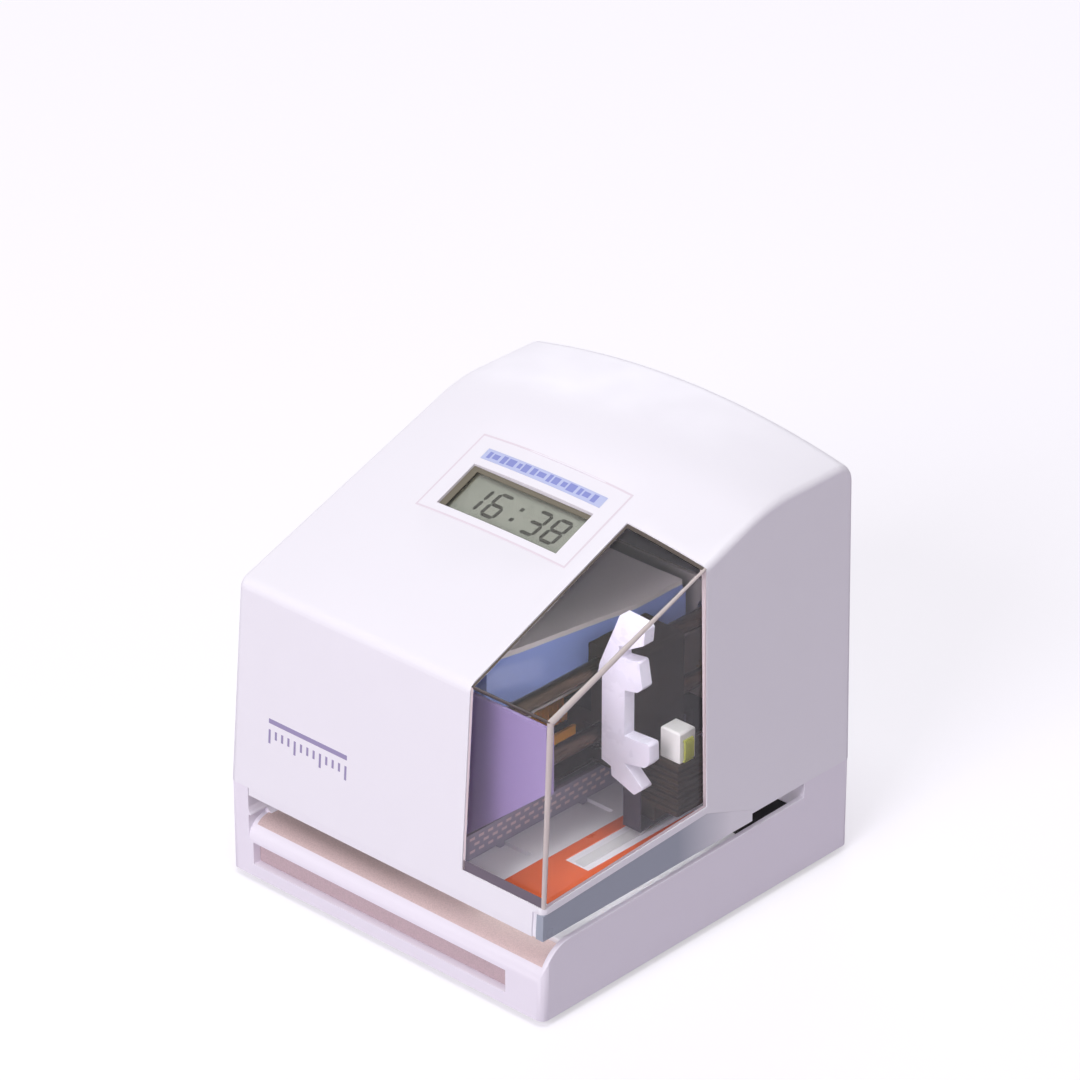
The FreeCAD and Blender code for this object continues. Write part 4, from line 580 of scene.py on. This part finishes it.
def skin_seat(node, start_point, way):
    """The seat where a straight line first meets a CAD node."""
    mesh = cad_mesh(node)
    tree = BVHTree.FromPolygons([v.co for v in mesh.vertices], [tuple(p.vertices) for p in mesh.polygons])
    spot, normal, _, _ = tree.ray_cast(Vector(start_point), way)
    if spot is None:
        raise ValueError("nothing of %s lies that way" % node)
    return seat_on(spot, normal if normal.dot(way) < 0 else -normal)


def dress(material, *nodes):
    """Give CAD nodes a finish."""
    for name in nodes:
        slots = cad_mesh(name).materials
        slots.clear()
        slots.append(material)


def soften(*nodes):
    """Round the sharp edges of CAD nodes a little, as moulding, shearing or polishing leaves them."""
    for name in nodes:
        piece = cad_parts[name]
        piece.modifiers.new("joined", "WELD").merge_threshold = WELD
        rounding = piece.modifiers.new("edges", "BEVEL")
        rounding.width = sizes().edge_round
        rounding.segments = 2
        rounding.limit_method = "ANGLE"
        rounding.angle_limit = math.radians(40)
        rounding.harden_normals = True


def screw_crosses(place, way, material):
    """A dark cross of painted shade for the recess on every screw at a place on the base, where all the heads look
    the same way.
    """
    mesh = cad_mesh(place + "_screws")
    tops = [face for face in mesh.polygons if face.normal.dot(way) > FLAT]
    level = max(corner.dot(way) for corner in corners(mesh, tops))
    heads = []
    for face in tops:
        if abs(face.center.dot(way) - level) < 0.05 * MM:
            spots = corners(mesh, [face])
            near = [head for head in heads if (head[0] - spots[0]).length < 6 * MM]
            if near:
                near[0].extend(spots)
            else:
                heads.append(spots)

    def crosses(shape):
        for head in heads:
            low, high = span(head)
            seat = seat_on((low + high) / 2, way)
            reach = max(high - low) * 0.3
            for long, wide in ((reach, reach * 0.26), (reach * 0.26, reach)):
                bar(shape, seat, (-long, long), (-wide, wide), (-SUNK, 0.03 * MM))

    new_piece(place + "_screw_recesses", "base", material, crosses)


# Pieces on the cover


SEGMENTS = {
    "0": "abcdef", "1": "bc", "2": "abged", "3": "abgcd", "4": "fgbc",
    "5": "afgcd", "6": "afgedc", "7": "abc", "8": "abcdefg", "9": "abcdfg",
}
SHOWN_TIME = "16:38"
DIGIT_LAYER = (0.02 * MM, 0.06 * MM)  # over the face of the cell


def segment_outline(kind, wide, high, thick):
    """The pointed outline of one segment of a digit whose middle is at zero."""
    half, x, y = thick / 2, wide / 2, high / 2
    tip = thick * 0.08
    level = {"a": y - half, "g": 0, "d": half - y}
    if kind in level:
        ends = x - half - tip
        return [(-ends, level[kind]), (half - ends, level[kind] - half), (ends - half, level[kind] - half),
                (ends, level[kind]), (ends - half, level[kind] + half), (half - ends, level[kind] + half)]
    side = x - half if kind in "bc" else half - x
    near, far = (tip, y - half - tip) if kind in "bf" else (half + tip - y, -tip)
    return [(side, near), (side + half, near + half), (side + half, far - half),
            (side, far), (side - half, far - half), (side - half, near + half)]


def draw_time(shape, seat):
    """The digits and the colon, slanted a little, on the display cell."""
    choice = sizes()
    slant = Matrix(((1, 0.12, 0, 0), (0, 1, 0, 0), (0, 0, 1, 0), (0, 0, 0, 1)))
    places = len(SHOWN_TIME)
    for n, sign in enumerate(SHOWN_TIME):
        spot = seat @ Matrix.Translation(((n - (places - 1) / 2) * choice.digit_pitch, 0, 0)) @ slant
        if sign == ":":
            for y in (-0.22, 0.22):
                dot, rise = choice.segment * 0.55, y * choice.digit_high
                bar(shape, spot, (-dot, dot), (rise - dot, rise + dot), DIGIT_LAYER)
            continue
        for kind in SEGMENTS[sign]:
            outline = segment_outline(kind, choice.digit_wide, choice.digit_high, choice.segment)
            prism(shape, spot, outline, *DIGIT_LAYER)


def edge_chain(node, first, second):
    """The points, in order, of the edge where two facets of a CAD node meet, by the ways they face."""
    shape = bmesh.new()
    shape.from_mesh(cad_mesh(node))
    bmesh.ops.remove_doubles(shape, verts=shape.verts, dist=WELD)
    points = []
    for edge in shape.edges:
        if len(edge.link_faces) != 2:
            continue
        ways = [face.normal for face in edge.link_faces]
        along = min(max(way.dot(side) for way in ways) for side in (first, second)) > 0.93
        if along and ways[0].angle(ways[1]) > 0.1:
            run = [vert.co.copy() for vert in edge.verts]
            points += [spot for spot in run if all((spot - other).length > 0.01 * MM for other in points)]
    shape.free()
    far = max(((a - b).length, n, m) for n, a in enumerate(points) for m, b in enumerate(points))
    begin = points[far[1]]
    return sorted(points, key=lambda spot: (spot - begin).length)


# The ways that the three facets of the window face
SIDE_WAY = Vector((1, 0, 0.02)).normalized()
FRONT_WAY = Vector((0, -1, 0.07)).normalized()
SLOPE_WAY = Vector((0.1, -0.33, 0.94)).normalized()


class MakeCover(bpy.types.Operator):
    """Finish the lift-off cover, its lock and its plain front print"""
    bl_idname = "stamp.make_cover"
    bl_label = "Cover"

    def execute(self, context):
        dress(cover_plastic(), "top_cover", "display_bezel")
        dress(lock_chrome(), "lock_barrel", "lock_plug")
        dress(screw_steel(), "lock_nut")
        soften("top_cover")
        low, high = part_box("top_cover")
        ink = print_film("Screen print, grey violet", colours().front_print, 0.45)
        seat = skin_seat("top_cover", (-0.0375, low.y - 0.05, 0.0635), -FORWARD)

        def lines(shape):
            strokes, half, z = 13, 0.5 * MM, (-SUNK, PRINT[1])
            bar(shape, seat, (-19 * MM, 19 * MM), (3.6 * MM, 5.4 * MM), z)
            for n in range(strokes):
                x = (n / (strokes - 1) - 0.5) * 37 * MM
                tall = (5.4 if n % 4 == 0 else 3.2) * MM
                bar(shape, seat, (x - half, x + half), (1.2 * MM - tall, 1.2 * MM), z)

        new_piece("front_print", "cover", ink, lines)
        return {"FINISHED"}


class MakeWindow(bpy.types.Operator):
    """Finish the clear corner window, its polished edges with painted highlights, painted shade along its crease and
    borders, and the strip under it in painted shade
    """
    bl_idname = "stamp.make_window"
    bl_label = "Window"

    def execute(self, context):
        dress(clear_pane("Polycarbonate, clear moulded", linear("FCFBFE")), "corner_window")
        # the sill strip's grey is painted shade
        dress(rail_painted_shade(), "window_sill_rail")
        edge = edge_highlight()
        highlight_width = sizes().edge_highlight_width
        # painted highlights: pale tubes along the corner and slope edges, tapering along their length
        for name, first, second, low, high in (("corner", FRONT_WAY, SIDE_WAY, 0.75, 1.0),
                                               ("slope", SLOPE_WAY, SIDE_WAY, 1.1, 0.45)):
            ends = sorted(edge_chain("corner_window", first, second), key=lambda spot: spot.z)
            steps = 8
            path = [ends[0].lerp(ends[-1], n / steps) for n in range(steps + 1)]
            widths = [highlight_width * (low + (high - low) * n / steps) for n in range(steps + 1)]
            inward = (first + second).normalized()
            path = [spot - inward * wide * 0.75 for spot, wide in zip(path, widths)]
            new_piece("window_edge_" + name, "cover", edge, lambda shape: tube(shape, path, widths, 12))
        # painted shade: a dark line along the crease where the front and slope facets meet
        crease = edge_chain("corner_window", FRONT_WAY, SLOPE_WAY)
        crease = [crease[0].lerp(crease[-1], share) for share in (0.01, 0.97)]
        crease_shade = plain("Bonding seam, smoke brown", linear("4A3E3E"), 0.3, 0.8, 0.004, 0.05)
        new_piece("window_crease", "cover", crease_shade, lambda shape: tube(shape, crease, [0.45 * MM] * 2))
        # painted light along the window's borders: dark lines of painted shade at the slope's back and left, pale
        # lines of painted highlight at the side and front edges, and a wide smoked band of painted shade at the front
        # sill, where the cover's front wall lies in shade
        dark = print_film("Screen print, brown black", linear("43352C"), 0.4)
        pale = print_film("Screen print, pale rose", linear("DCCBCF"), 0.4)
        smoked = print_film("Screen print, smoked violet", linear("6A5F6C"), 0.4)
        painted_edge_lines = (("slope_back", dark, SLOPE_WAY, -FORWARD, 1.5), ("slope_left", dark, SLOPE_WAY, -ACROSS, 1.0),
                   ("side_back", pale, SIDE_WAY, -FORWARD, 1.4), ("side_sill", pale, SIDE_WAY, -UP, 1.1),
                   ("front_left", pale, FRONT_WAY, -ACROSS, 0.9), ("front_sill", smoked, FRONT_WAY, -UP, 3.8))
        for name, ink, facet, rim, wide in painted_edge_lines:
            line = edge_chain("corner_window", facet, rim)
            near = [line[0].lerp(line[-1], 0.003), *line[1:-1], line[-1].lerp(line[0], 0.003)]
            far = [skin_seat("corner_window", spot - rim * wide * MM + facet * 2 * MM, -facet).translation
                   for spot in near]
            new_piece("window_border_" + name, "cover", ink, lambda shape: band(shape, near, far, facet, *PRINT))
        return {"FINISHED"}


class MakeDisplay(bpy.types.Operator):
    """Finish the display and draw a plain time on it"""
    bl_idname = "stamp.make_display"
    bl_label = "Display"

    def execute(self, context):
        dress(print_film("Screen print, periwinkle", colours().stripe), "display_stripe")
        dress(crystal_cell(), "display_cell")
        dress(clear_pane("Acrylic, clear window", linear("FAFAF8")), "display_lens")
        dress(solder_mask(), "display_board")
        cell, cell_half = flat_seat("display_cell", UP)
        new_piece("display_digits", "cover", segment_ink(), lambda shape: draw_time(shape, cell))
        lens, half = flat_seat("display_lens", UP)
        left = sizes().recess_shade_band
        back, rest = left * 0.7, left * 0.1

        # painted shade: a dark band, widest at the left and the back, stands in for the recess's shadow round the
        # display
        def recess_shade_band(shape):
            x, y, z = half.x - 0.05 * MM, half.y - 0.05 * MM, (0.0, 0.3 * MM)
            bar(shape, lens, (-x, x), (y - back, y), z)
            bar(shape, lens, (-x, x), (-y, rest - y), z)
            bar(shape, lens, (-x, left - x), (rest - y, y - back), z)
            bar(shape, lens, (x - rest, x), (rest - y, y - back), z)

        dark = plain("Rubber gasket, olive grey", linear("716B5C"), 0.6, 0.4, 0.01, 0.1)
        new_piece("display_gasket", "cover", dark, recess_shade_band)

        def frame_round_cell(shape):
            x, y, reach, z = cell_half.x, cell_half.y, 3.2 * MM, (-0.6 * MM, 0.01 * MM)
            for side in (-1, 1):
                bar(shape, cell, sorted((side * x, side * (x + reach))), (-y, y), z)
                bar(shape, cell, (-x - reach, x + reach), sorted((side * y, side * (y + 0.6 * MM))), z)

        new_piece("cell_frame", "cover", print_film("Lacquer, dark olive", linear("5C584B"), 0.5),
                  frame_round_cell)
        bar_low, bar_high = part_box("display_stripe")

        def dashes(shape):
            place = bar_low.x + 1.8 * MM
            for n in range(15):
                half = (0.8, 1.4, 1.05, 1.7)[n % 4] * MM
                tall = (1.5, 1.1, 1.7)[n % 3] * MM
                above = (place + half, (bar_low.y + bar_high.y) / 2, bar_high.z + MM)
                bar(shape, skin_seat("display_stripe", above, -UP), (-half, half), (-tall, tall), PRINT)
                place += 2 * half + (0.8, 1.3)[n % 2] * MM

        new_piece("stripe_print", "cover", print_film("Screen print, violet blue", colours().stripe_print),
                  dashes)
        mesh = cad_mesh("display_bezel")
        low, high = span(corners(mesh, [face for face in mesh.polygons if face.normal.z > 0.8]))
        turns = ((low.x, low.y, -1, -1), (high.x, low.y, 1, -1), (high.x, high.y, 1, 1), (low.x, high.y, -1, 1))
        steps = 12

        def seam(shape):
            for n, near in enumerate(turns):
                lines = []
                for reach, node in ((-0.4 * MM, "display_bezel"), (0.3 * MM, "top_cover")):
                    first, last = [Vector((x + reach * out_x, y + reach * out_y, high.z + 5 * MM))
                                   for x, y, out_x, out_y in (near, turns[(n + 1) % 4])]
                    lines.append([skin_seat(node, first.lerp(last, step / steps), -UP).translation
                                  for step in range(steps + 1)])
                band(shape, *lines, UP, *PRINT)

        new_piece("bezel_seam", "cover", print_film("Lacquer in a seam, pale rose", linear("E6DBE4"), 0.45),
                  seam)
        return {"FINISHED"}


# Pieces on the base


class MakeBase(bpy.types.Operator):
    """Finish the base, its floor, feet and screws, and the power inlet"""
    bl_idname = "stamp.make_base"
    bl_label = "Base"

    def execute(self, context):
        dress(base_plastic(), "base_housing")
        soften("base_housing")
        dress(black_plate(), "bottom_plate", "chassis_floor")
        dress(foot_rubber(), "rubber_feet")
        dress(screw_steel(), "bottom_screws", "chassis_screws", "motor_screws")
        dress(black_nylon(), "power_inlet", "paper_switch", "key_housings")
        # painted shade: the dark crosses stand in for the shade in each screw's recess
        recess_shade_ink = plain("Cross recess, in shadow", linear("3A3A3E"), 0.5, 0.4, 0.004, 0.05)
        for place, way in (("bottom", -UP), ("chassis", UP), ("motor", UP)):
            screw_crosses(place, way, recess_shade_ink)
        thick = sizes().felt
        deck_low, deck_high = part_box("deck_plate")
        base_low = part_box("base_housing")[0]

        # painted shade: a pale brown felt on the base's rounded front edge stands in for the shade under the cover
        def edge_felt(shape):
            steps = 14
            first, last = base_low.y + 2.4 * MM, deck_low.y - 0.2 * MM
            seats = [skin_seat("base_housing", (0, first + (last - first) * n / steps, deck_high.z + MM), -UP)
                     for n in range(steps + 1)]
            outline = [(seat.translation.y, seat.translation.z - SUNK) for seat in seats]
            outline += [(seat @ Vector((0, 0, thick))).yz[:] for seat in seats[::-1]]
            along = Matrix(((0, 0, 1, 0), (1, 0, 0, 0), (0, 1, 0, 0), (0, 0, 0, 1)))
            prism(shape, along, outline, -64 * MM, deck_high.x - 0.2 * MM)

        new_piece("edge_felt", "base", shade_felt_strip("Wool felt, pressed, pale brown", colours().edge_felt), edge_felt)
        back = skin_seat("base_housing", (0, base_low.y - 0.05, 12 * MM), -FORWARD).translation.y
        mesh = cad_mesh("base_housing")
        wall = [face for face in mesh.polygons
                if face.normal.dot(FORWARD) > 0.98 and abs(face.center.y - back) < 0.05 * MM]
        low, high = span(corners(mesh, wall))
        seat = seat_on(Vector(((low.x + high.x) / 2, back, (low.z + high.z) / 2)), FORWARD)

        # painted shade: a rose brown felt on the groove's back wall stands in for the shade in the recess
        def groove_felt(shape):
            x, y = (high.x - low.x) / 2 - 0.1 * MM, (high.z - low.z) / 2 - 0.1 * MM
            bar(shape, seat, (-x, x), (-y, y), (-SUNK, thick))

        new_piece("groove_felt", "base", shade_felt_strip("Wool felt, pressed, rose brown", colours().groove_felt),
                  groove_felt)
        return {"FINISHED"}


class MakeThroat(bpy.types.Operator):
    """Finish the deck with its guide mark, the platen, the paper stop and the trigger"""
    bl_idname = "stamp.make_throat"
    bl_label = "Throat"

    def execute(self, context):
        dress(deck_plastic(), "deck_plate")
        dress(print_film("Screen print, orange", colours().mark), "print_guide_mark")
        dress(platen_rubber(), "platen")
        dress(stop_plastic(), "paper_stop")
        dress(acetal(), "trigger_lever", "board_standoffs")
        deck_low, deck_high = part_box("deck_plate")

        # painted shade: a black pad at the back of the throat stands in for the shade there
        def shade_pad(shape):
            x, y, z = deck_high
            bar(shape, LEVEL, (x - 16 * MM, x - 0.3 * MM), (y - 28 * MM, y - 0.3 * MM), (z - SUNK, z + 0.3 * MM))

        new_piece("throat_back_pad", "base", foot_rubber(), shade_pad)
        mesh = cad_mesh("paper_stop")
        low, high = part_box("paper_stop")
        slots = set()
        for face in mesh.polygons:
            spots = corners(mesh, [face])
            y = [round(spot.y, 6) for spot in spots]
            if face.normal.z > FLAT and low.z + 3 * MM < spots[0].z < high.z - MM and max(y) - min(y) < 4 * MM:
                slots.add((min(y), max(y), round(spots[0].z, 6)))

        def pegs(shape):
            for first, last, floor in sorted(slots):
                bar(shape, LEVEL, (high.x - MM, high.x + 0.04 * MM), (first, last), (floor, floor + sizes().peg))

        new_piece("stop_pegs", "stop_fence", print_film("Lacquer, pale rose", linear("E4CFD2"), 0.4), pegs)
        return {"FINISHED"}


class MakeCarriage(bpy.types.Operator):
    """Finish the side plates, the guide shafts, the print carriage and its wires"""
    bl_idname = "stamp.make_carriage"
    bl_label = "Carriage"

    def execute(self, context):
        dress(violet_plate(), "front_side_plate")
        dress(screw_steel(), "shaft_clips")
        dress(zinc_plate(), "rear_side_plate", "cassette_tray", "lock_catch")
        dress(ground_shaft(), "lower_guide_shaft", "upper_guide_shaft", "idler_post")
        dress(black_nylon(), "carriage_block")
        dress(acetal(), "ribbon_guide")
        soften("ribbon_guide")
        dress(head_aluminium(), "print_head")
        dress(connector_plastic(), "head_connector")
        dress(ribbon_cloth(), "ribbon")
        soften("print_head", "head_connector", "carriage_block", "front_side_plate")
        low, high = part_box("head_lead")
        count = sizes().wires
        pitch = (high.y - low.y) / count

        def wires(shape):
            thick = pitch * 0.46
            root, near, far = low.x - 0.3 * MM, low.x + thick, high.x - thick
            upper, lower = high.z - thick, low.z + thick
            line = ((root, upper), (near, upper), (far, upper - 2 * thick), (far, lower + 2 * thick),
                    (near, lower), (root, lower))
            for n in range(count):
                y = low.y + pitch * (n + 0.5)
                tube(shape, [Vector((x, y, z)) for x, z in line], [thick] * len(line), 8)

        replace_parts(new_piece("lead_wires", "carriage", wire_sleeve(), wires), "head_lead")
        return {"FINISHED"}


class MakeDrive(bpy.types.Operator):
    """Finish the belt, its pulleys and the motor"""
    bl_idname = "stamp.make_drive"
    bl_label = "Drive"

    def execute(self, context):
        dress(belt_rubber(), "timing_belt")
        dress(turned_brass(), "drive_pulley", "idler_pulley")
        dress(motor_can(), "carriage_motor")
        low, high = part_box("timing_belt")
        inset, pitch = 1.0 * MM, sizes().belt_pitch
        turn = (high.x - low.x) / 2

        def teeth(shape):
            y = low.y + turn + pitch
            while y < high.y - turn - pitch:
                bar(shape, LEVEL, (low.x + inset - 0.1 * MM, low.x + inset + 0.6 * MM),
                    (y - pitch / 4, y + pitch / 4), (low.z + 0.1 * MM, high.z - 0.1 * MM))
                y += pitch

        new_piece("belt_teeth", "base", belt_rubber(), teeth)
        return {"FINISHED"}


class MakeCassette(bpy.types.Operator):
    """Finish the ribbon cassette and its knob"""
    bl_idname = "stamp.make_cassette"
    bl_label = "Cassette"

    def execute(self, context):
        dress(cassette_plastic(), "ribbon_cassette")
        dress(lid_plastic(), "cassette_lid")
        dress(knob_plastic(), "ribbon_knob")
        return {"FINISHED"}


class MakeElectronics(bpy.types.Operator):
    """Finish the main board and what stands on it, and the transformer"""
    bl_idname = "stamp.make_electronics"
    bl_label = "Electronics"

    def execute(self, context):
        dress(solder_mask(), "main_board")
        dress(epoxy(), "controller_chip", "buzzer")
        dress(shrink_sleeve("PVC shrink sleeve, navy", "1C2450"), "capacitors")
        dress(shrink_sleeve("PVC shrink sleeve, green", "2A6B3C"), "backup_battery")
        dress(key_plastic(), "select_key", "change_key", "set_key")
        dress(core_steel(), "transformer_core")
        dress(coil_winding(), "transformer_coil")
        chip_low, chip_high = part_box("controller_chip")
        pitch, top, tin = sizes().pin_pitch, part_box("main_board")[1].z, tinned_copper()

        def block(shape, x, y, half, low, high):
            """A block on the board, between two places in X and two heights over it."""
            bar(shape, LEVEL, sorted(x), (y - half * MM, y + half * MM), (top + low * MM, top + high * MM))

        def pins(shape):
            for side, edge in ((-1, chip_low.x), (1, chip_high.x)):
                out = edge + side * MM
                for n in range(int((chip_high.y - chip_low.y) / pitch)):
                    y = chip_low.y + pitch * (n + 0.5)
                    block(shape, (edge - side * 0.1 * MM, out), y, 0.25, 1.6, 1.9)
                    block(shape, (edge + side * 0.7 * MM, out), y, 0.25, 0, 1.7)

        new_piece("chip_pins", "base", tin, pins)
        spots = [(chip_low.x + (1.5 + 4.2 * (n % 3)) * MM, chip_low.y - (3.0 + 3.2 * (n // 3)) * MM)
                 for n in range(9)]

        def resistors(shape):
            for x, y in spots:
                block(shape, (x - 1.6 * MM, x + 1.6 * MM), y, 0.8, 0, 0.6)

        def ends(shape):
            for x, y in spots:
                for side in (-1, 1):
                    block(shape, (x + side * 1.2 * MM, x + side * 1.75 * MM), y, 0.85, 0, 0.66)

        new_piece("board_resistors", "base", epoxy(), resistors)
        new_piece("resistor_ends", "base", tin, ends)
        return {"FINISHED"}


# Studio


CAMERA_AZIMUTH = math.radians(42.9)
CAMERA_HEIGHT_ANGLE = math.radians(29.57)
CAMERA_DISTANCE = 1.844
CAMERA_LENS = 176.0
PIVOT = Vector((0, 0, 0.075))
AIM_ABOVE_PIVOT = 0.0476
AIM_BESIDE_PIVOT = -0.0005
LAMP_DISTANCE = 3.0


def lamp(name, way, across, level, colour):
    """A square soft box that looks at the machine. level 1 lights a facing white surface to plain white."""
    light = bpy.data.lights.new(name, "AREA")
    light.size = across
    light.energy = level * math.pi ** 2 * LAMP_DISTANCE ** 2
    light.color = colour
    box = bpy.data.objects.new(name, light)
    bpy.context.scene.collection.objects.link(box)
    way = Vector(way).normalized()
    box.location = PIVOT + way * LAMP_DISTANCE
    box.rotation_mode = "QUATERNION"
    box.rotation_quaternion = way.to_track_quat("Z", "Y")


def seen_rays(tree):
    """One for the rays that show the background: straight to the camera and through clear panes."""
    straight = add(tree, "LightPath", out="Is Camera Ray")
    through = add(tree, "LightPath", out="Is Transmission Ray")
    return add(tree, "Math", {0: straight, 1: through}, {"operation": "MAXIMUM"})


def seen_or_mirrored_rays(tree):
    """The same, and the rays in which gloss mirrors the background."""
    mirrored = add(tree, "LightPath", out="Is Glossy Ray")
    return add(tree, "Math", {0: seen_rays(tree), 1: mirrored}, {"operation": "MAXIMUM"})


def studio_world(level, colour):
    """Even light from all round, which the camera, gloss and clear panes see as white."""
    world = bpy.data.worlds.new("Studio")
    bpy.context.scene.world = world
    world.use_nodes = True
    tree = world.node_tree
    tree.nodes.clear()
    light = add(tree, "Background", {"Color": colour + (1,), "Strength": level})
    white = add(tree, "Background", {"Color": (1, 1, 1, 1), "Strength": 1.0})
    both = add(tree, "MixShader", {0: seen_or_mirrored_rays(tree), 1: light, 2: white})
    add(tree, "OutputWorld", {"Surface": both})


def floor_paint():
    """Matt pale paper, lifted where it is seen so that it meets the white surround and keeps the shadow."""
    material, tree, place = start("Studio floor, matt pale paper")
    paper = add(tree, "BsdfPrincipled", {
        "Base Color": clouded(tree, place, linear("C9C6CE"), 400, 0.002), "Roughness": 0.9,
        "Specular IOR Level": 0.1})
    lift = add(tree, "Emission", {"Color": (1, 1, 1, 1), "Strength": 0.5})
    lifted = add(tree, "AddShader", {0: paper, 1: lift})
    return close(material, tree, add(tree, "MixShader", {0: seen_rays(tree), 1: paper, 2: lifted}))


class MakeStage(bpy.types.Operator):
    """Set out the floor, the lights and the camera"""
    bl_idname = "stamp.make_stage"
    bl_label = "Stage"

    def execute(self, context):
        reach = 6.0
        mesh = bpy.data.meshes.new("studio_floor")
        mesh.from_pydata([(-reach, -reach, 0), (reach, -reach, 0), (reach, reach, 0), (-reach, reach, 0)], [],
                         [(0, 1, 2, 3)])
        mesh.materials.append(floor_paint())
        floor = bpy.data.objects.new("studio_floor", mesh)
        context.scene.collection.objects.link(floor)
        studio_world(0.40, linear("F5E8F6"))
        lamp("overhead_light", (0.1, -0.18, 0.98), 1.0, 0.30, linear("F4FFF8"))
        lamp("front_light", (0.15, -0.86, 0.48), 1.4, 0.51, linear("FEFAFE"))
        lamp("back_light", (-0.6, 0.7, 0.4), 1.4, 0.15, linear("F6F6FF"))
        back = Vector((math.sin(CAMERA_AZIMUTH) * math.cos(CAMERA_HEIGHT_ANGLE),
                       -math.cos(CAMERA_AZIMUTH) * math.cos(CAMERA_HEIGHT_ANGLE), math.sin(CAMERA_HEIGHT_ANGLE)))
        right = Vector((math.cos(CAMERA_AZIMUTH), math.sin(CAMERA_AZIMUTH), 0))
        camera = bpy.data.objects.new("camera", bpy.data.cameras.new("camera"))
        context.scene.collection.objects.link(camera)
        camera.data.lens = CAMERA_LENS
        camera.location = PIVOT + back * CAMERA_DISTANCE
        aim = PIVOT + back.cross(right) * AIM_ABOVE_PIVOT + right * AIM_BESIDE_PIVOT
        camera.rotation_mode = "QUATERNION"
        camera.rotation_quaternion = (camera.location - aim).to_track_quat("Z", "Y")
        context.scene.camera = camera
        context.scene.view_settings.view_transform = "Standard"
        return {"FINISHED"}


OPERATORS = (MakeCover, MakeWindow, MakeDisplay, MakeBase, MakeThroat, MakeCarriage, MakeDrive,
             MakeCassette, MakeElectronics, MakeStage)


class StampPanel(bpy.types.Panel):
    """The machine's sizes, colours and making steps"""
    bl_idname = "VIEW3D_PT_stamp_machine"
    bl_label = "Date and time stamp machine"
    bl_space_type = "VIEW_3D"
    bl_region_type = "UI"
    bl_category = "Stamp"

    def draw(self, context):
        for group in (context.scene.stamp_sizes, context.scene.stamp_colours):
            for name in group.__annotations__:
                self.layout.prop(group, name)
        for operator in OPERATORS:
            self.layout.operator(operator.bl_idname)


CLASSES = (StampColours, StampSizes, *OPERATORS, StampPanel)


def register():
    for made in CLASSES:
        bpy.utils.register_class(made)
    bpy.types.Scene.stamp_colours = PointerProperty(type=StampColours)
    bpy.types.Scene.stamp_sizes = PointerProperty(type=StampSizes)


def unregister():
    del bpy.types.Scene.stamp_sizes
    del bpy.types.Scene.stamp_colours
    for made in reversed(CLASSES):
        bpy.utils.unregister_class(made)


def main():
    register()
    for operator in OPERATORS:
        group, name = operator.bl_idname.split(".")
        getattr(getattr(bpy.ops, group), name)()


if __name__ == "__main__":
    main()
